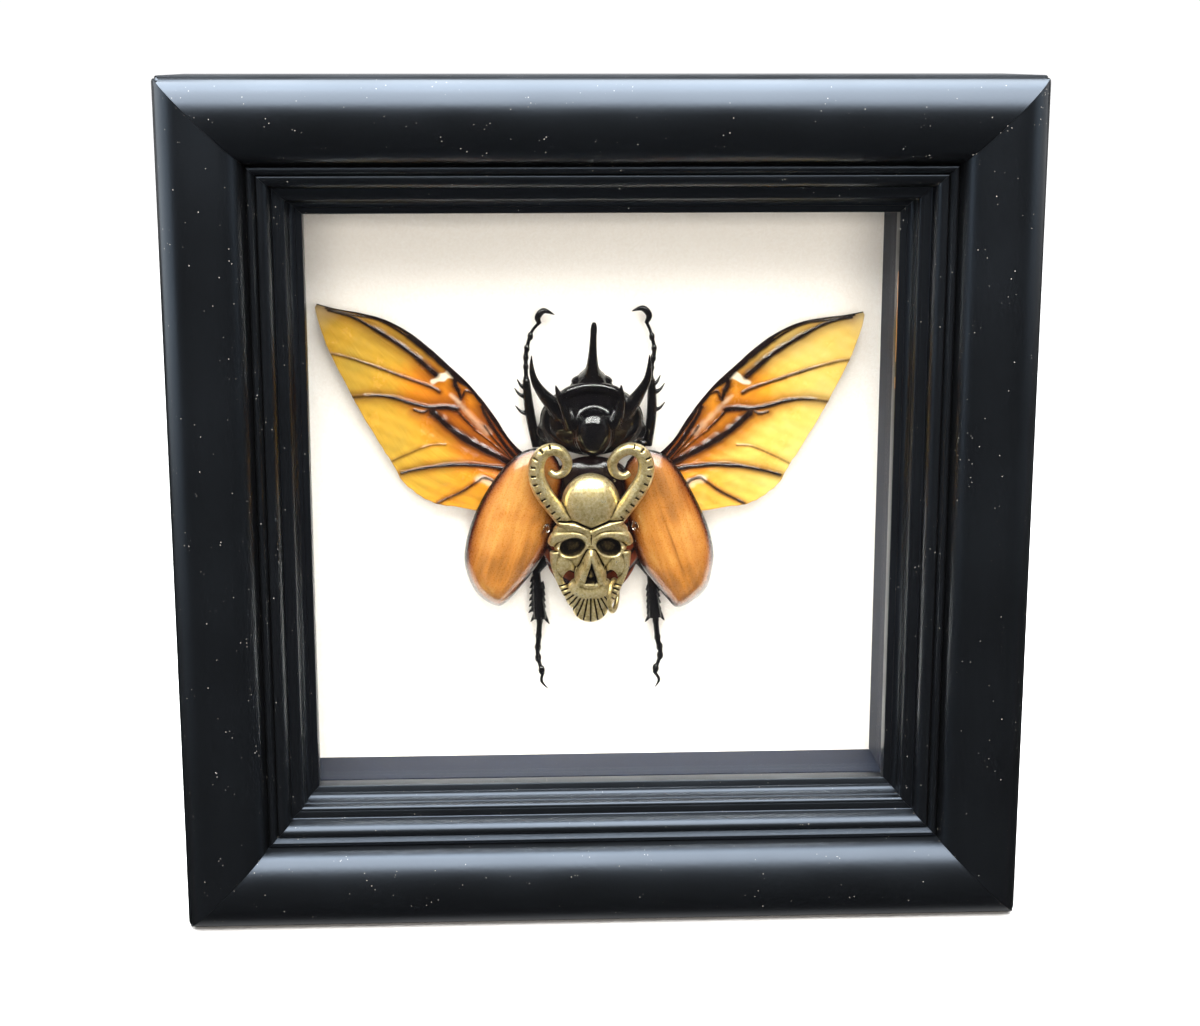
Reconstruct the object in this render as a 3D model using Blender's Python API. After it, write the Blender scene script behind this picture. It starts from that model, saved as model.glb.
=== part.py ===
# A framed beetle specimen: a black moulded shadow box with a five-horned
# rhinoceros beetle, its wings spread, and a cast horned-skull charm on its back.
#
# Modelled in millimetres and written in metres. X is right, Y is into the frame,
# Z is up. The frame stands on its bottom rail: Z = 0 is the underside, X = 0 the
# middle of the width, and Y = 0 the middle of the depth.
import math

import bmesh
import bpy
from mathutils import Vector

MM = 0.001
GAP = 0.3

# Frame
OUTER = 203.2
HALF = OUTER / 2
RAIL_WIDTH = 31.65
RAIL_DEPTH = 49.8
EDGE_BACK = 8.5
LIP_FRONT = 18.3
LIP_BACK = 21.8
REBATE = 6.55
HANGER_THICKNESS = 1.2
FRONT_Y = -(RAIL_DEPTH + HANGER_THICKNESS) / 2

# Glass, liner, board and back, all in the rebate
SHEET = 152.4
GLASS_THICKNESS = 2.0
LINER_THICKNESS = 4.2
LINER_WIDTH = 142.3
LINER_HEIGHT = 140.6
LINER_SHIFT = -0.85
BOARD_FRONT = 41.3
BOARD_THICKNESS = 3.0
BACK_THICKNESS = 3.0

# Beetle: places are (right, up) from the middle of the frame, height off the board
AXIS_X = -2.0


def remove_everything():
    for obj in list(bpy.data.objects):
        bpy.data.objects.remove(obj)


def finish(name, colour, roughness, metallic=0.0, transmission=0.0):
    material = bpy.data.materials.new(name)
    material.use_nodes = True
    shader = material.node_tree.nodes["Principled BSDF"]
    shader.inputs["Base Color"].default_value = (*colour, 1.0)
    shader.inputs["Roughness"].default_value = roughness
    shader.inputs["Metallic"].default_value = metallic
    shader.inputs["Transmission Weight"].default_value = transmission
    return material


def place(right, up, height):
    """A point of the specimen, in metres, from its place on the mount board."""
    return Vector((right, FRONT_Y + BOARD_FRONT - height, HALF + up)) * MM


def smooth_path(points, count):
    """Evenly spaced points on a Catmull-Rom curve through the given ones."""
    last = len(points) - 1
    path = []
    for step in range(count):
        position = step * last / (count - 1)
        index = min(int(position), last - 1)
        t = position - index
        knots = [points[min(max(index + offset, 0), last)] for offset in (-1, 0, 1, 2)]
        path.append([
            0.5 * (2 * b + (c - a) * t + (2 * a - 5 * b + 4 * c - d) * t ** 2
                   + (3 * b - a - 3 * c + d) * t ** 3)
            for a, b, c, d in zip(*knots)
        ])
    return path


def new_object(name, bm, material):
    bmesh.ops.recalc_face_normals(bm, faces=bm.faces)
    mesh = bpy.data.meshes.new(name)
    bm.to_mesh(mesh)
    bm.free()
    obj = bpy.data.objects.new(name, mesh)
    bpy.context.scene.collection.objects.link(obj)
    mesh.materials.append(material)
    mesh.shade_smooth()
    mesh.set_sharp_from_angle(angle=math.radians(35))
    return obj


def loft(rings):
    """A closed body through rings of equally many points, with a flat face at each end."""
    bm = bmesh.new()
    loops = [[bm.verts.new(point) for point in ring] for ring in rings]
    for near, far in zip(loops, loops[1:]):
        for k in range(len(near)):
            after = (k + 1) % len(near)
            bm.faces.new((near[k], near[after], far[after], far[k]))
    bm.faces.new(loops[0])
    bm.faces.new(loops[-1])
    return bm


def limb(name, stations, material, sides=6, count=None, flat=1.0):
    """A tapering round limb through stations of (right, up, height, radius)."""
    path = smooth_path(stations, count or len(stations))
    centres = [place(*station[:3]) for station in path]
    rings = []
    for k, centre in enumerate(centres):
        ahead = centres[min(k + 1, len(centres) - 1)]
        behind = centres[max(k - 1, 0)]
        along = (ahead - behind).normalized()
        across = along.cross(Vector((0, -1, 0))).normalized()
        outward = across.cross(along)
        radius = path[k][3] * MM
        ring = []
        for side in range(sides):
            angle = 2 * math.pi * (side + 0.5) / sides
            ring.append(centre + across * radius * math.cos(angle)
                        + outward * radius * flat * math.sin(angle))
        rings.append(ring)
    return new_object(name, loft(rings), material)


def domed(name, outline, spine, under, over, material, lift=None):
    """A domed body: its outline shrunk towards a spine, at rising heights.

    under and over list (share of the outline, height), from the rim inwards.
    """
    start = Vector(spine[0])
    run = Vector(spine[1]) - start
    rings = []
    for share, height in list(reversed(under)) + list(over):
        ring = []
        for right, up in outline:
            point = Vector((right, up))
            along = min(max((point - start).dot(run) / run.length_squared, 0), 1)
            foot = start + run * along
            spot = foot + (point - foot) * share
            rise = height if lift is None else lift(spot.y, height)
            ring.append(place(spot.x, spot.y, rise))
        rings.append(ring)
    return new_object(name, loft(rings), material)


def ellipsoid(name, centre, radii, material, segments=12, rings=7):
    bm = bmesh.new()
    bmesh.ops.create_uvsphere(bm, u_segments=segments, v_segments=rings, radius=MM)
    right, up, height = radii
    for vert in bm.verts:
        vert.co = Vector((vert.co.x * right, vert.co.y * height, vert.co.z * up)) + place(*centre)
    return new_object(name, bm, material)


def combine(name, base, others, operation):
    """The base with the other bodies joined to it or cut from it, as one mesh."""
    group = bpy.data.collections.new(name + "_tools")
    for other in others:
        group.objects.link(other)
    boolean = base.modifiers.new("Boolean", "BOOLEAN")
    boolean.operation = operation
    boolean.operand_type = "COLLECTION"
    boolean.collection = group
    boolean.solver = "EXACT"
    depsgraph = bpy.context.evaluated_depsgraph_get()
    result = bpy.data.meshes.new_from_object(base.evaluated_get(depsgraph))
    base.modifiers.remove(boolean)
    base.data = result
    base.name = name
    for other in others:
        bpy.data.objects.remove(other)
    bpy.data.collections.remove(group)
    return base


# Frame rails

def moulding_profile():
    """The rail's section as (distance in from the outer side, depth from the crest)."""
    crest_in = 9.0
    round_foot = 10.6
    profile = []
    for step in range(8):
        angle = math.radians(90) * step / 7
        profile.append((crest_in * (1 - math.cos(angle)), EDGE_BACK * (1 - math.sin(angle))))
    for step in range(1, 8):
        angle = math.radians(84) * step / 7
        profile.append((crest_in + round_foot * math.sin(angle), 7.2 * (1 - math.cos(angle))))
    fine_beads = [(20.2, 7.3), (20.9, 6.7), (21.7, 7.5), (22.2, 8.0), (22.5, 7.7)]
    ovolo = [(23.8, 8.2), (25.0, 10.2), (25.3, 12.0), (26.8, 12.2)]
    inner_bead = [(27.4, 12.3), (28.1, 13.3), (28.4, 14.8)]
    lip = [(29.8, 16.9), (30.0, 17.5), (31.4, 17.9), (RAIL_WIDTH, LIP_FRONT), (RAIL_WIDTH, LIP_BACK)]
    rebate_side = RAIL_WIDTH - REBATE
    back = [(rebate_side, LIP_BACK), (rebate_side, RAIL_DEPTH), (0.0, RAIL_DEPTH)]
    return profile + fine_beads + ovolo + inner_bead + lip + back


def frame_rail(name, turn, material):
    """One mitred rail, turned about the middle of the frame from the bottom one."""
    mitre_gap = GAP / 2 * math.sqrt(2)
    ends = []
    for side in (-1, 1):
        ring = []
        for inward, depth in moulding_profile():
            x = side * (HALF - inward - mitre_gap)
            ring.append(Vector((x, FRONT_Y + depth, inward - HALF)) * MM)
        ends.append(ring)
    rail = new_object(name, loft(ends), material)
    rail.location.z = HALF * MM
    rail.rotation_euler.y = math.radians(turn)
    return rail


def make_frame():
    lacquer = finish("black_lacquered_wood", (0.012, 0.013, 0.016), 0.3)
    for side, turn in (("bottom", 0), ("right", -90), ("top", 180), ("left", 90)):
        frame_rail("frame_rail_" + side, turn, lacquer)


# Sheets in the rebate

def slab(name, size, centre, material):
    """A flat rectangular piece: size and centre as (right, depth, up) from the middle."""
    bm = bmesh.new()
    bmesh.ops.create_cube(bm, size=1.0)
    for vert in bm.verts:
        spot = Vector([vert.co[k] * size[k] + centre[k] for k in range(3)])
        vert.co = (spot + Vector((0, FRONT_Y, HALF))) * MM
    return new_object(name, bm, material)


def sheet(name, front, thickness, material):
    slab(name, (SHEET, thickness, SHEET), (0, front + thickness / 2, 0), material)


def make_liner():
    """Four strips glued to the board, a little to the left, that hold it off the glass."""
    black_board = finish("black_liner_board", (0.02, 0.024, 0.03), 0.6)
    front = LIP_BACK + GAP + GLASS_THICKNESS + GAP
    depth = BOARD_FRONT - GAP - front
    middle = front + depth / 2
    for side, sign in (("bottom", -1), ("top", 1)):
        size = (LINER_WIDTH + 2 * LINER_THICKNESS, depth, LINER_THICKNESS)
        up = sign * (LINER_HEIGHT + LINER_THICKNESS) / 2
        slab("liner_strip_" + side, size, (LINER_SHIFT, middle, up), black_board)
    for side, sign in (("left", -1), ("right", 1)):
        size = (LINER_THICKNESS, depth, LINER_HEIGHT - 2 * GAP)
        right = LINER_SHIFT + sign * (LINER_WIDTH + LINER_THICKNESS) / 2
        slab("liner_strip_" + side, size, (right, middle, 0), black_board)


def make_sheets():
    glass = finish("picture_glass", (1.0, 1.0, 1.0), 0.0, transmission=1.0)
    white_board = finish("white_mount_board", (0.88, 0.87, 0.86), 0.8)
    hardboard = finish("brown_hardboard", (0.24, 0.14, 0.07), 0.75)
    sheet("glass_pane", LIP_BACK + GAP, GLASS_THICKNESS, glass)
    sheet("mount_board", BOARD_FRONT, BOARD_THICKNESS, white_board)
    sheet("back_panel", BOARD_FRONT + BOARD_THICKNESS + GAP, BACK_THICKNESS, hardboard)


def make_framing_points():
    """Thin steel points round the back panel, each standing in from the rebate's side."""
    steel = finish("blued_steel", (0.2, 0.21, 0.23), 0.4, metallic=1.0)
    depth = BOARD_FRONT + BOARD_THICKNESS + GAP + BACK_THICKNESS + GAP + 0.3
    spacing = 45.0
    rebate_side = HALF - RAIL_WIDTH + REBATE
    length = 9.0
    middle = rebate_side - GAP - length / 2
    number = 1
    for sign in (-1, 1):
        for along in (-spacing, spacing):
            slab("framing_point_%d" % number, (6.0, 0.6, length), (along, depth, sign * middle), steel)
            slab("framing_point_%d" % (number + 1), (length, 0.6, 6.0), (sign * middle, depth, along), steel)
            number += 2


def make_hanger():
    """The toothed steel strip on the back of the top rail, with a nail at each end."""
    steel = finish("zinc_plated_steel", (0.55, 0.55, 0.56), 0.35, metallic=1.0)
    length = 44.0
    height = 9.0
    tooth_width = 2.0
    tooth_depth = 1.6
    teeth = 12
    nail_places = (-18.0, 18.0)
    up = HALF - 13.0
    edge = [(length / 2, height / 2), (-length / 2, height / 2), (-length / 2, -height / 2)]
    for k in range(teeth + 1):
        x = tooth_width * (k - teeth / 2)
        edge.append((x, -height / 2))
        if k < teeth:
            edge.append((x + tooth_width / 2, -height / 2 + tooth_depth))
    edge.append((length / 2, -height / 2))
    back = RAIL_DEPTH + HANGER_THICKNESS
    rings = []
    for depth in (RAIL_DEPTH + GAP, back - 0.35):
        rings.append([Vector((x, FRONT_Y + depth, HALF + up + z)) * MM for x, z in edge])
    new_object("sawtooth_hanger", loft(rings), steel)
    for side, x in zip(("left", "right"), nail_places):
        bm = bmesh.new()
        bmesh.ops.create_cone(bm, cap_ends=True, segments=10, radius1=1.7 * MM, radius2=1.4 * MM,
                              depth=0.3 * MM)
        for vert in bm.verts:
            vert.co = Vector((vert.co.x, -vert.co.z, vert.co.y))
            vert.co += Vector((x, FRONT_Y + back - 0.15, HALF + up)) * MM
        new_object("hanger_nail_" + side, bm, steel)


# Beetle

def mirrored(points):
    """The same points on the other side of the beetle's axis."""
    return [(2 * AXIS_X - point[0], *point[1:]) for point in points]


def closed_outline(half):
    """A symmetrical outline from the points of its left half, front to back."""
    return half + list(reversed(mirrored(half[1:-1])))


def pronotum_form(name, clearance, material):
    half = [(AXIS_X, 28.4), (-5.8, 27.6), (-9.3, 25.6), (-12.4, 25.0), (-14.6, 21.8), (-14.8, 18.4),
            (-15.7, 15.0), (-14.2, 12.4), (-9.4, 10.4), (-5.8, 9.6), (AXIS_X, 9.5)]
    middle = Vector((AXIS_X, 19.0))
    outline = []
    for point in closed_outline(half):
        offset = Vector(point) - middle
        outline.append(tuple(middle + offset * (1 + clearance / offset.length)))
    under = [(1.0, 6.4 - clearance), (0.9, 5.4 - clearance), (0.45, 5.0 - clearance), (0.3, GAP)]
    over = [(1.0, 7.4), (0.95, 9.6 + clearance), (0.82, 11.6 + clearance), (0.6, 12.9 + clearance),
            (0.3, 13.5 + clearance)]
    return domed(name, outline, ((AXIS_X, 21.0), (AXIS_X, 15.5)), under, over, material)


def make_pronotum(cuticle):
    shield = pronotum_form("shield", 0.0, cuticle)
    boss = ellipsoid("boss", (AXIS_X - 0.4, 16.0, 11.4), (5.4, 6.2, 3.4), cuticle)
    left_long = [(-9.0, 21.5, 8.6, 3.2), (-12.4, 24.6, 10.0, 2.3), (-14.7, 27.8, 11.6, 1.5),
                 (-16.0, 31.4, 12.6, 1.0), (-16.6, 35.0, 13.2, 0.35)]
    right_long = [(5.0, 21.5, 8.6, 3.2), (8.0, 24.6, 10.0, 2.3), (9.8, 27.8, 11.6, 1.5),
                  (11.0, 31.4, 12.6, 1.0), (11.5, 35.3, 13.2, 0.35)]
    left_short = [(-7.6, 18.2, 11.6, 1.3), (-9.2, 22.0, 13.6, 1.1), (-10.4, 25.6, 14.4, 0.8),
                  (-11.2, 27.8, 14.8, 0.3)]
    right_short = [(2.6, 18.2, 11.6, 1.3), (3.2, 22.0, 13.6, 1.1), (4.2, 25.6, 14.4, 0.8),
                   (4.8, 28.1, 14.8, 0.3)]
    horns = [limb("horn", path, cuticle, count=7) for path in (left_long, right_long)]
    horns += [limb("horn", path, cuticle, count=5) for path in (left_short, right_short)]
    combine("beetle_pronotum", shield, [boss] + horns, "UNION")


def make_head(cuticle):
    skull = ellipsoid("skull", (AXIS_X, 25.4, 7.2), (5.9, 5.6, 3.6), cuticle)
    horn = limb("horn", [(-2.0, 26.0, 8.6, 4.0), (-2.0, 29.2, 9.6, 2.7), (-1.9, 31.4, 10.6, 1.5),
                         (-1.8, 35.5, 11.8, 1.05), (-1.6, 39.5, 12.8, 0.85), (-1.3, 42.4, 13.2, 0.55)],
                cuticle, sides=8, count=8)
    combine("beetle_head", skull, [horn], "UNION")
    head = bpy.data.objects["beetle_head"]
    combine("beetle_head", head, [pronotum_form("recess", 0.5, cuticle)], "DIFFERENCE")


def make_body():
    chitin = finish("red_brown_chitin", (0.09, 0.025, 0.012), 0.2)
    half = [(AXIS_X, 9.1), (-7.6, 8.6), (-11.6, 5.6), (-13.2, 0.0), (-14.8, -7.0), (-15.5, -14.0),
            (-14.6, -20.0), (-10.6, -25.0), (-6.2, -27.2), (AXIS_X, -27.8)]
    under = [(1.0, 5.4), (0.85, 4.8), (0.42, 4.6), (0.34, GAP)]
    over = [(1.0, 5.9), (0.93, 6.6), (0.76, 7.2), (0.45, 8.4), (0.2, 8.8)]
    domed("beetle_body", closed_outline(half), ((AXIS_X, 2.0), (AXIS_X, -15.0)), under, over, chitin)


def make_elytra():
    tan = finish("tan_wing_case", (0.55, 0.24, 0.07), 0.25)
    left = [(-12.4, 8.4), (-14.0, 11.2), (-17.6, 11.2), (-22.0, 8.5), (-27.0, 2.5), (-31.2, -5.3),
            (-33.6, -13.8), (-33.2, -19.9), (-30.5, -25.4), (-26.1, -28.4), (-23.3, -27.4), (-19.0, -22.5),
            (-15.8, -18.2), (-13.0, -13.0), (-11.4, -7.0), (-11.2, 0.0)]
    right = [(8.9, 8.2), (10.4, 10.6), (13.6, 10.6), (17.7, 8.1), (22.3, 1.3), (26.6, -7.9), (28.3, -14.5),
             (28.1, -19.2), (26.3, -24.9), (20.0, -29.4), (16.5, -26.7), (13.2, -22.4), (10.4, -18.5),
             (8.0, -12.4), (7.0, -6.0), (7.4, 0.0)]
    under = [(1.0, 7.8), (0.93, 8.7), (0.78, 9.9), (0.5, 10.9), (0.2, 11.2)]
    over = [(1.0, 8.3), (0.96, 9.8), (0.82, 11.2), (0.54, 12.2), (0.2, 12.6)]
    rim = 8.0

    def flatter_at_the_root(up, height):
        root_share = min(max((up + 8.0) / 18.0, 0), 1)
        return rim + (height - rim) * (1 - 0.5 * root_share)

    for name, outline, spine in (("elytron_left", left, ((-16.6, 5.0), (-25.6, -20.5))),
                                 ("elytron_right", right, ((12.0, 4.5), (20.8, -20.5)))):
        ring = smooth_path(outline + outline[:1], 33)[:-1]
        domed(name, ring, spine, under, over, tan, flatter_at_the_root)


def wing_membrane(name, leading, trailing, material):
    """A thin crinkled sheet between the wing's two edges, root to tip."""
    stations = 14
    columns = 6
    thickness = 0.45
    front_edge = smooth_path(leading, stations)
    rear_edge = smooth_path(trailing, stations)
    rings = []
    for k in range(stations):
        reach = k / (stations - 1)
        crinkle = 0.5 * math.sin(math.pi * min(reach * 1.6, 1))
        front = []
        back = []
        for column in range(columns):
            share = column / (columns - 1)
            right = front_edge[k][0] + (rear_edge[k][0] - front_edge[k][0]) * share
            up = front_edge[k][1] + (rear_edge[k][1] - front_edge[k][1]) * share
            height = 6.5 + crinkle * math.cos(3.0 * math.pi * share) - 1.2 * reach * share
            front.append(place(right, up, height))
            back.append(place(right, up, height - thickness))
        rings.append(front + list(reversed(back)))
    return new_object(name, loft(rings), material)


def make_hindwings():
    amber = finish("amber_wing_membrane", (0.75, 0.38, 0.06), 0.25)
    left_leading = [(-13.6, 7.4), (-18.5, 9.2), (-23.4, 13.9), (-26.8, 19.5), (-32.1, 26.2), (-36.7, 31.2),
                    (-41.0, 35.9), (-46.3, 40.0), (-51.5, 43.3), (-56.8, 45.3), (-63.0, 46.2), (-68.0, 47.2)]
    left_trailing = [(-13.6, 4.6), (-20.0, -1.5), (-28.0, -4.4), (-36.2, -3.4), (-41.5, -2.8), (-45.3, -0.2),
                     (-48.7, 2.9), (-51.9, 8.7), (-55.1, 14.0), (-60.4, 23.7), (-65.8, 35.1), (-68.8, 44.0)]
    left_veins = [
        [(-14.5, 6.8), (-19.5, 9.0), (-24.0, 13.6), (-27.4, 19.2), (-32.4, 25.6), (-37.2, 30.6),
         (-41.6, 35.4), (-47.0, 39.6), (-53.0, 43.4)],
        [(-41.1, 28.8), (-42.8, 30.6), (-45.4, 34.2), (-49.9, 38.2), (-55.2, 41.9), (-63.8, 45.6)],
        [(-15.5, 6.2), (-22.7, 7.9), (-26.9, 10.5), (-32.3, 14.0), (-37.6, 17.8), (-41.2, 21.6),
         (-44.9, 22.6), (-50.2, 24.4), (-55.6, 24.9), (-60.0, 24.4)],
        [(-19.5, 7.4), (-25.9, 13.0), (-28.8, 17.7), (-31.6, 22.6), (-35.0, 27.6)],
        [(-15.5, 5.4), (-24.2, 6.2), (-30.6, 7.5), (-37.8, 7.8), (-43.2, 7.1), (-48.8, 5.4)],
    ]
    right_leading = [(9.6, 7.4), (14.6, 9.4), (19.4, 15.0), (23.6, 21.8), (27.2, 26.5), (31.9, 31.2),
                     (36.5, 35.2), (41.9, 39.1), (46.5, 41.5), (52.7, 43.5), (58.1, 44.4), (63.4, 44.6)]
    right_trailing = [(9.6, 4.6), (16.0, -2.0), (24.0, -6.0), (30.0, -6.0), (36.0, -3.0), (39.6, 1.0),
                      (42.6, 5.4), (46.9, 10.1), (50.8, 14.6), (54.9, 21.8), (60.9, 32.5), (64.2, 40.8)]
    right_veins = [
        [(10.5, 6.8), (15.6, 9.2), (20.0, 14.7), (24.2, 21.4), (27.6, 25.9), (32.4, 30.6), (37.2, 34.8),
         (42.4, 38.6), (49.0, 41.8)],
        [(37.2, 28.0), (39.0, 30.4), (41.6, 33.6), (46.0, 37.2), (52.0, 40.4), (59.6, 43.4)],
        [(11.5, 6.2), (18.4, 8.0), (22.6, 10.4), (28.0, 13.8), (33.4, 17.4), (37.0, 21.0), (40.8, 22.2),
         (46.0, 24.0), (51.4, 24.6), (55.6, 24.2)],
        [(15.4, 7.6), (21.6, 13.2), (24.6, 17.8), (27.4, 22.4), (30.8, 27.0)],
        [(11.5, 5.4), (20.0, 6.0), (26.4, 7.2), (33.6, 7.4), (38.6, 6.8), (42.4, 5.6)],
    ]
    vein_radii = (0.75, 0.55, 0.7, 0.5, 0.45)
    wings = (("hindwing_left", left_leading, left_trailing, left_veins),
             ("hindwing_right", right_leading, right_trailing, right_veins))
    for name, leading, trailing, veins in wings:
        membrane = wing_membrane("membrane", leading, trailing, amber)
        tubes = []
        for path, radius in zip(veins, vein_radii):
            stations = []
            for k, (right, up) in enumerate(path):
                reach = min(abs(right - AXIS_X) / 66.0, 1)
                taper = 1 - 0.55 * k / (len(path) - 1)
                stations.append((right, up, 6.35 - 0.7 * reach, radius * taper))
            tubes.append(limb("vein", stations, amber, sides=5, count=9))
        combine(name, membrane, tubes, "UNION")


def leg(name, sections, spines, material):
    """A leg from its sections, each a limb, with small spines fused on."""
    parts = [limb("section", path, material, sides=6, count=count) for path, count in sections]
    for right, up, height, tip_right, tip_up in spines:
        parts.append(limb("spine", [(right, up, height, 0.75), (tip_right, tip_up, height, 0.12)],
                          material, sides=4))
    combine(name, parts[0], parts[1:], "UNION")


def make_legs(cuticle):
    low = 2.9
    left_femur = [(-9.0, 13.4, 2.6, 1.3), (-12.6, 12.0, 2.6, 1.5), (-15.2, 11.4, low, 1.2)]
    left_tibia = [(-15.5, 11.0, low, 1.25), (-16.8, 17.4, low, 1.25), (-17.6, 22.6, low, 1.2),
                  (-18.0, 27.8, low, 0.9)]
    left_tarsus = [(-18.0, 27.0, low, 0.42), (-18.1, 31.4, low, 0.42), (-17.9, 35.1, low, 0.42),
                   (-16.6, 39.6, low, 0.45), (-14.6, 42.0, low, 0.45)]
    left_claw = [(-14.6, 41.6, low, 0.6), (-15.1, 43.2, low, 0.85), (-13.6, 44.8, low, 0.8),
                 (-10.9, 43.8, low, 0.15)]
    left_teeth = [(-17.6, 26.0, low, -20.0, 27.4), (-17.4, 23.8, low, -20.6, 25.0),
                  (-16.8, 19.8, low, -20.4, 20.7)]
    leg("fore_leg_left", [(left_femur, 4), (left_tibia, 5), (left_tarsus, 7), (left_claw, 6)],
        left_teeth, cuticle)
    right_femur = [(5.0, 13.4, 2.6, 1.3), (8.8, 12.0, 2.6, 1.5), (11.6, 11.4, low, 1.2)]
    right_tibia = [(12.0, 11.0, low, 1.25), (12.9, 17.4, low, 1.25), (13.1, 22.6, low, 1.2),
                   (12.9, 27.8, low, 0.9)]
    right_tarsus = [(12.8, 27.0, low, 0.42), (13.0, 31.0, low, 0.42), (13.6, 35.0, low, 0.42),
                    (12.8, 39.2, low, 0.45), (11.6, 42.0, low, 0.45)]
    right_claw = [(11.6, 41.6, low, 0.6), (12.3, 43.6, low, 0.85), (10.7, 45.3, low, 0.8),
                  (8.0, 44.6, low, 0.15)]
    right_teeth = [(12.8, 26.6, low, 15.0, 28.2), (12.8, 24.8, low, 15.8, 26.1), (12.4, 20.4, low, 16.0, 21.4)]
    leg("fore_leg_right", [(right_femur, 4), (right_tibia, 5), (right_tarsus, 7), (right_claw, 6)],
        right_teeth, cuticle)
    tucked_femur = [(-9.0, 0.0, 2.6, 1.3), (-15.0, -4.0, 2.6, 1.4), (-19.0, -7.4, low, 1.0)]
    tucked_tibia = [(-18.9, -7.0, low, 0.9), (-19.6, -14.0, low, 0.9), (-19.4, -19.0, low, 0.6)]
    tucked_tarsus = [(-19.4, -18.4, low, 0.42), (-20.6, -21.0, low, 0.4), (-22.4, -23.0, low, 0.3)]
    for side, turn in (("left", list), ("right", mirrored)):
        paths = (tucked_femur, tucked_tibia, tucked_tarsus)
        leg("mid_leg_" + side, [(turn(path), 4) for path in paths], [], cuticle)
    left_femur = [(-8.6, -10.0, 2.6, 1.3), (-12.0, -15.6, 2.6, 1.5), (-15.8, -20.6, low, 1.2)]
    left_tibia = [(-15.9, -20.0, low, 1.1), (-15.6, -26.0, low, 1.3), (-15.0, -33.4, low, 1.75)]
    left_tarsus = [(-15.0, -32.6, low, 0.55), (-15.4, -38.4, low, 0.5), (-15.6, -43.1, low, 0.45),
                   (-14.3, -48.0, low, 0.4)]
    left_claw = [(-14.3, -47.6, low, 0.4), (-14.7, -49.8, low, 0.4), (-12.9, -52.0, low, 0.12)]
    left_spurs = [(-15.8, -31.8, low, -17.2, -34.2), (-14.4, -31.8, low, -12.7, -34.6)]
    leg("hind_leg_left", [(left_femur, 4), (left_tibia, 4), (left_tarsus, 6), (left_claw, 4)],
        left_spurs, cuticle)
    right_femur = [(4.6, -10.0, 2.6, 1.3), (8.6, -16.0, 2.6, 1.5), (12.8, -21.6, low, 1.2)]
    right_tibia = [(12.9, -21.0, low, 1.1), (13.6, -27.0, low, 1.3), (14.2, -33.4, low, 1.75)]
    right_tarsus = [(14.2, -32.6, low, 0.55), (14.9, -39.1, low, 0.5), (15.6, -42.8, low, 0.45),
                    (14.0, -48.0, low, 0.4)]
    right_claw = [(14.0, -47.6, low, 0.4), (15.3, -49.8, low, 0.4), (14.1, -52.0, low, 0.12)]
    right_spurs = [(13.6, -31.8, low, 11.7, -34.4), (15.0, -31.8, low, 16.4, -34.2)]
    leg("hind_leg_right", [(right_femur, 4), (right_tibia, 4), (right_tarsus, 6), (right_claw, 4)],
        right_spurs, cuticle)


# Charm

def hole_cutter(name, centre, radius, material):
    """A round bar from front to back, to cut a hole with."""
    bm = bmesh.new()
    bmesh.ops.create_cone(bm, cap_ends=True, segments=9, radius1=radius * MM, radius2=radius * MM,
                          depth=9.0 * MM)
    for vert in bm.verts:
        vert.co = Vector((vert.co.x, -vert.co.z, vert.co.y)) + place(*centre)
    return new_object(name, bm, material)


def ram_horn(path, material):
    return limb("ram_horn", path, material, sides=8, count=16)


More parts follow.
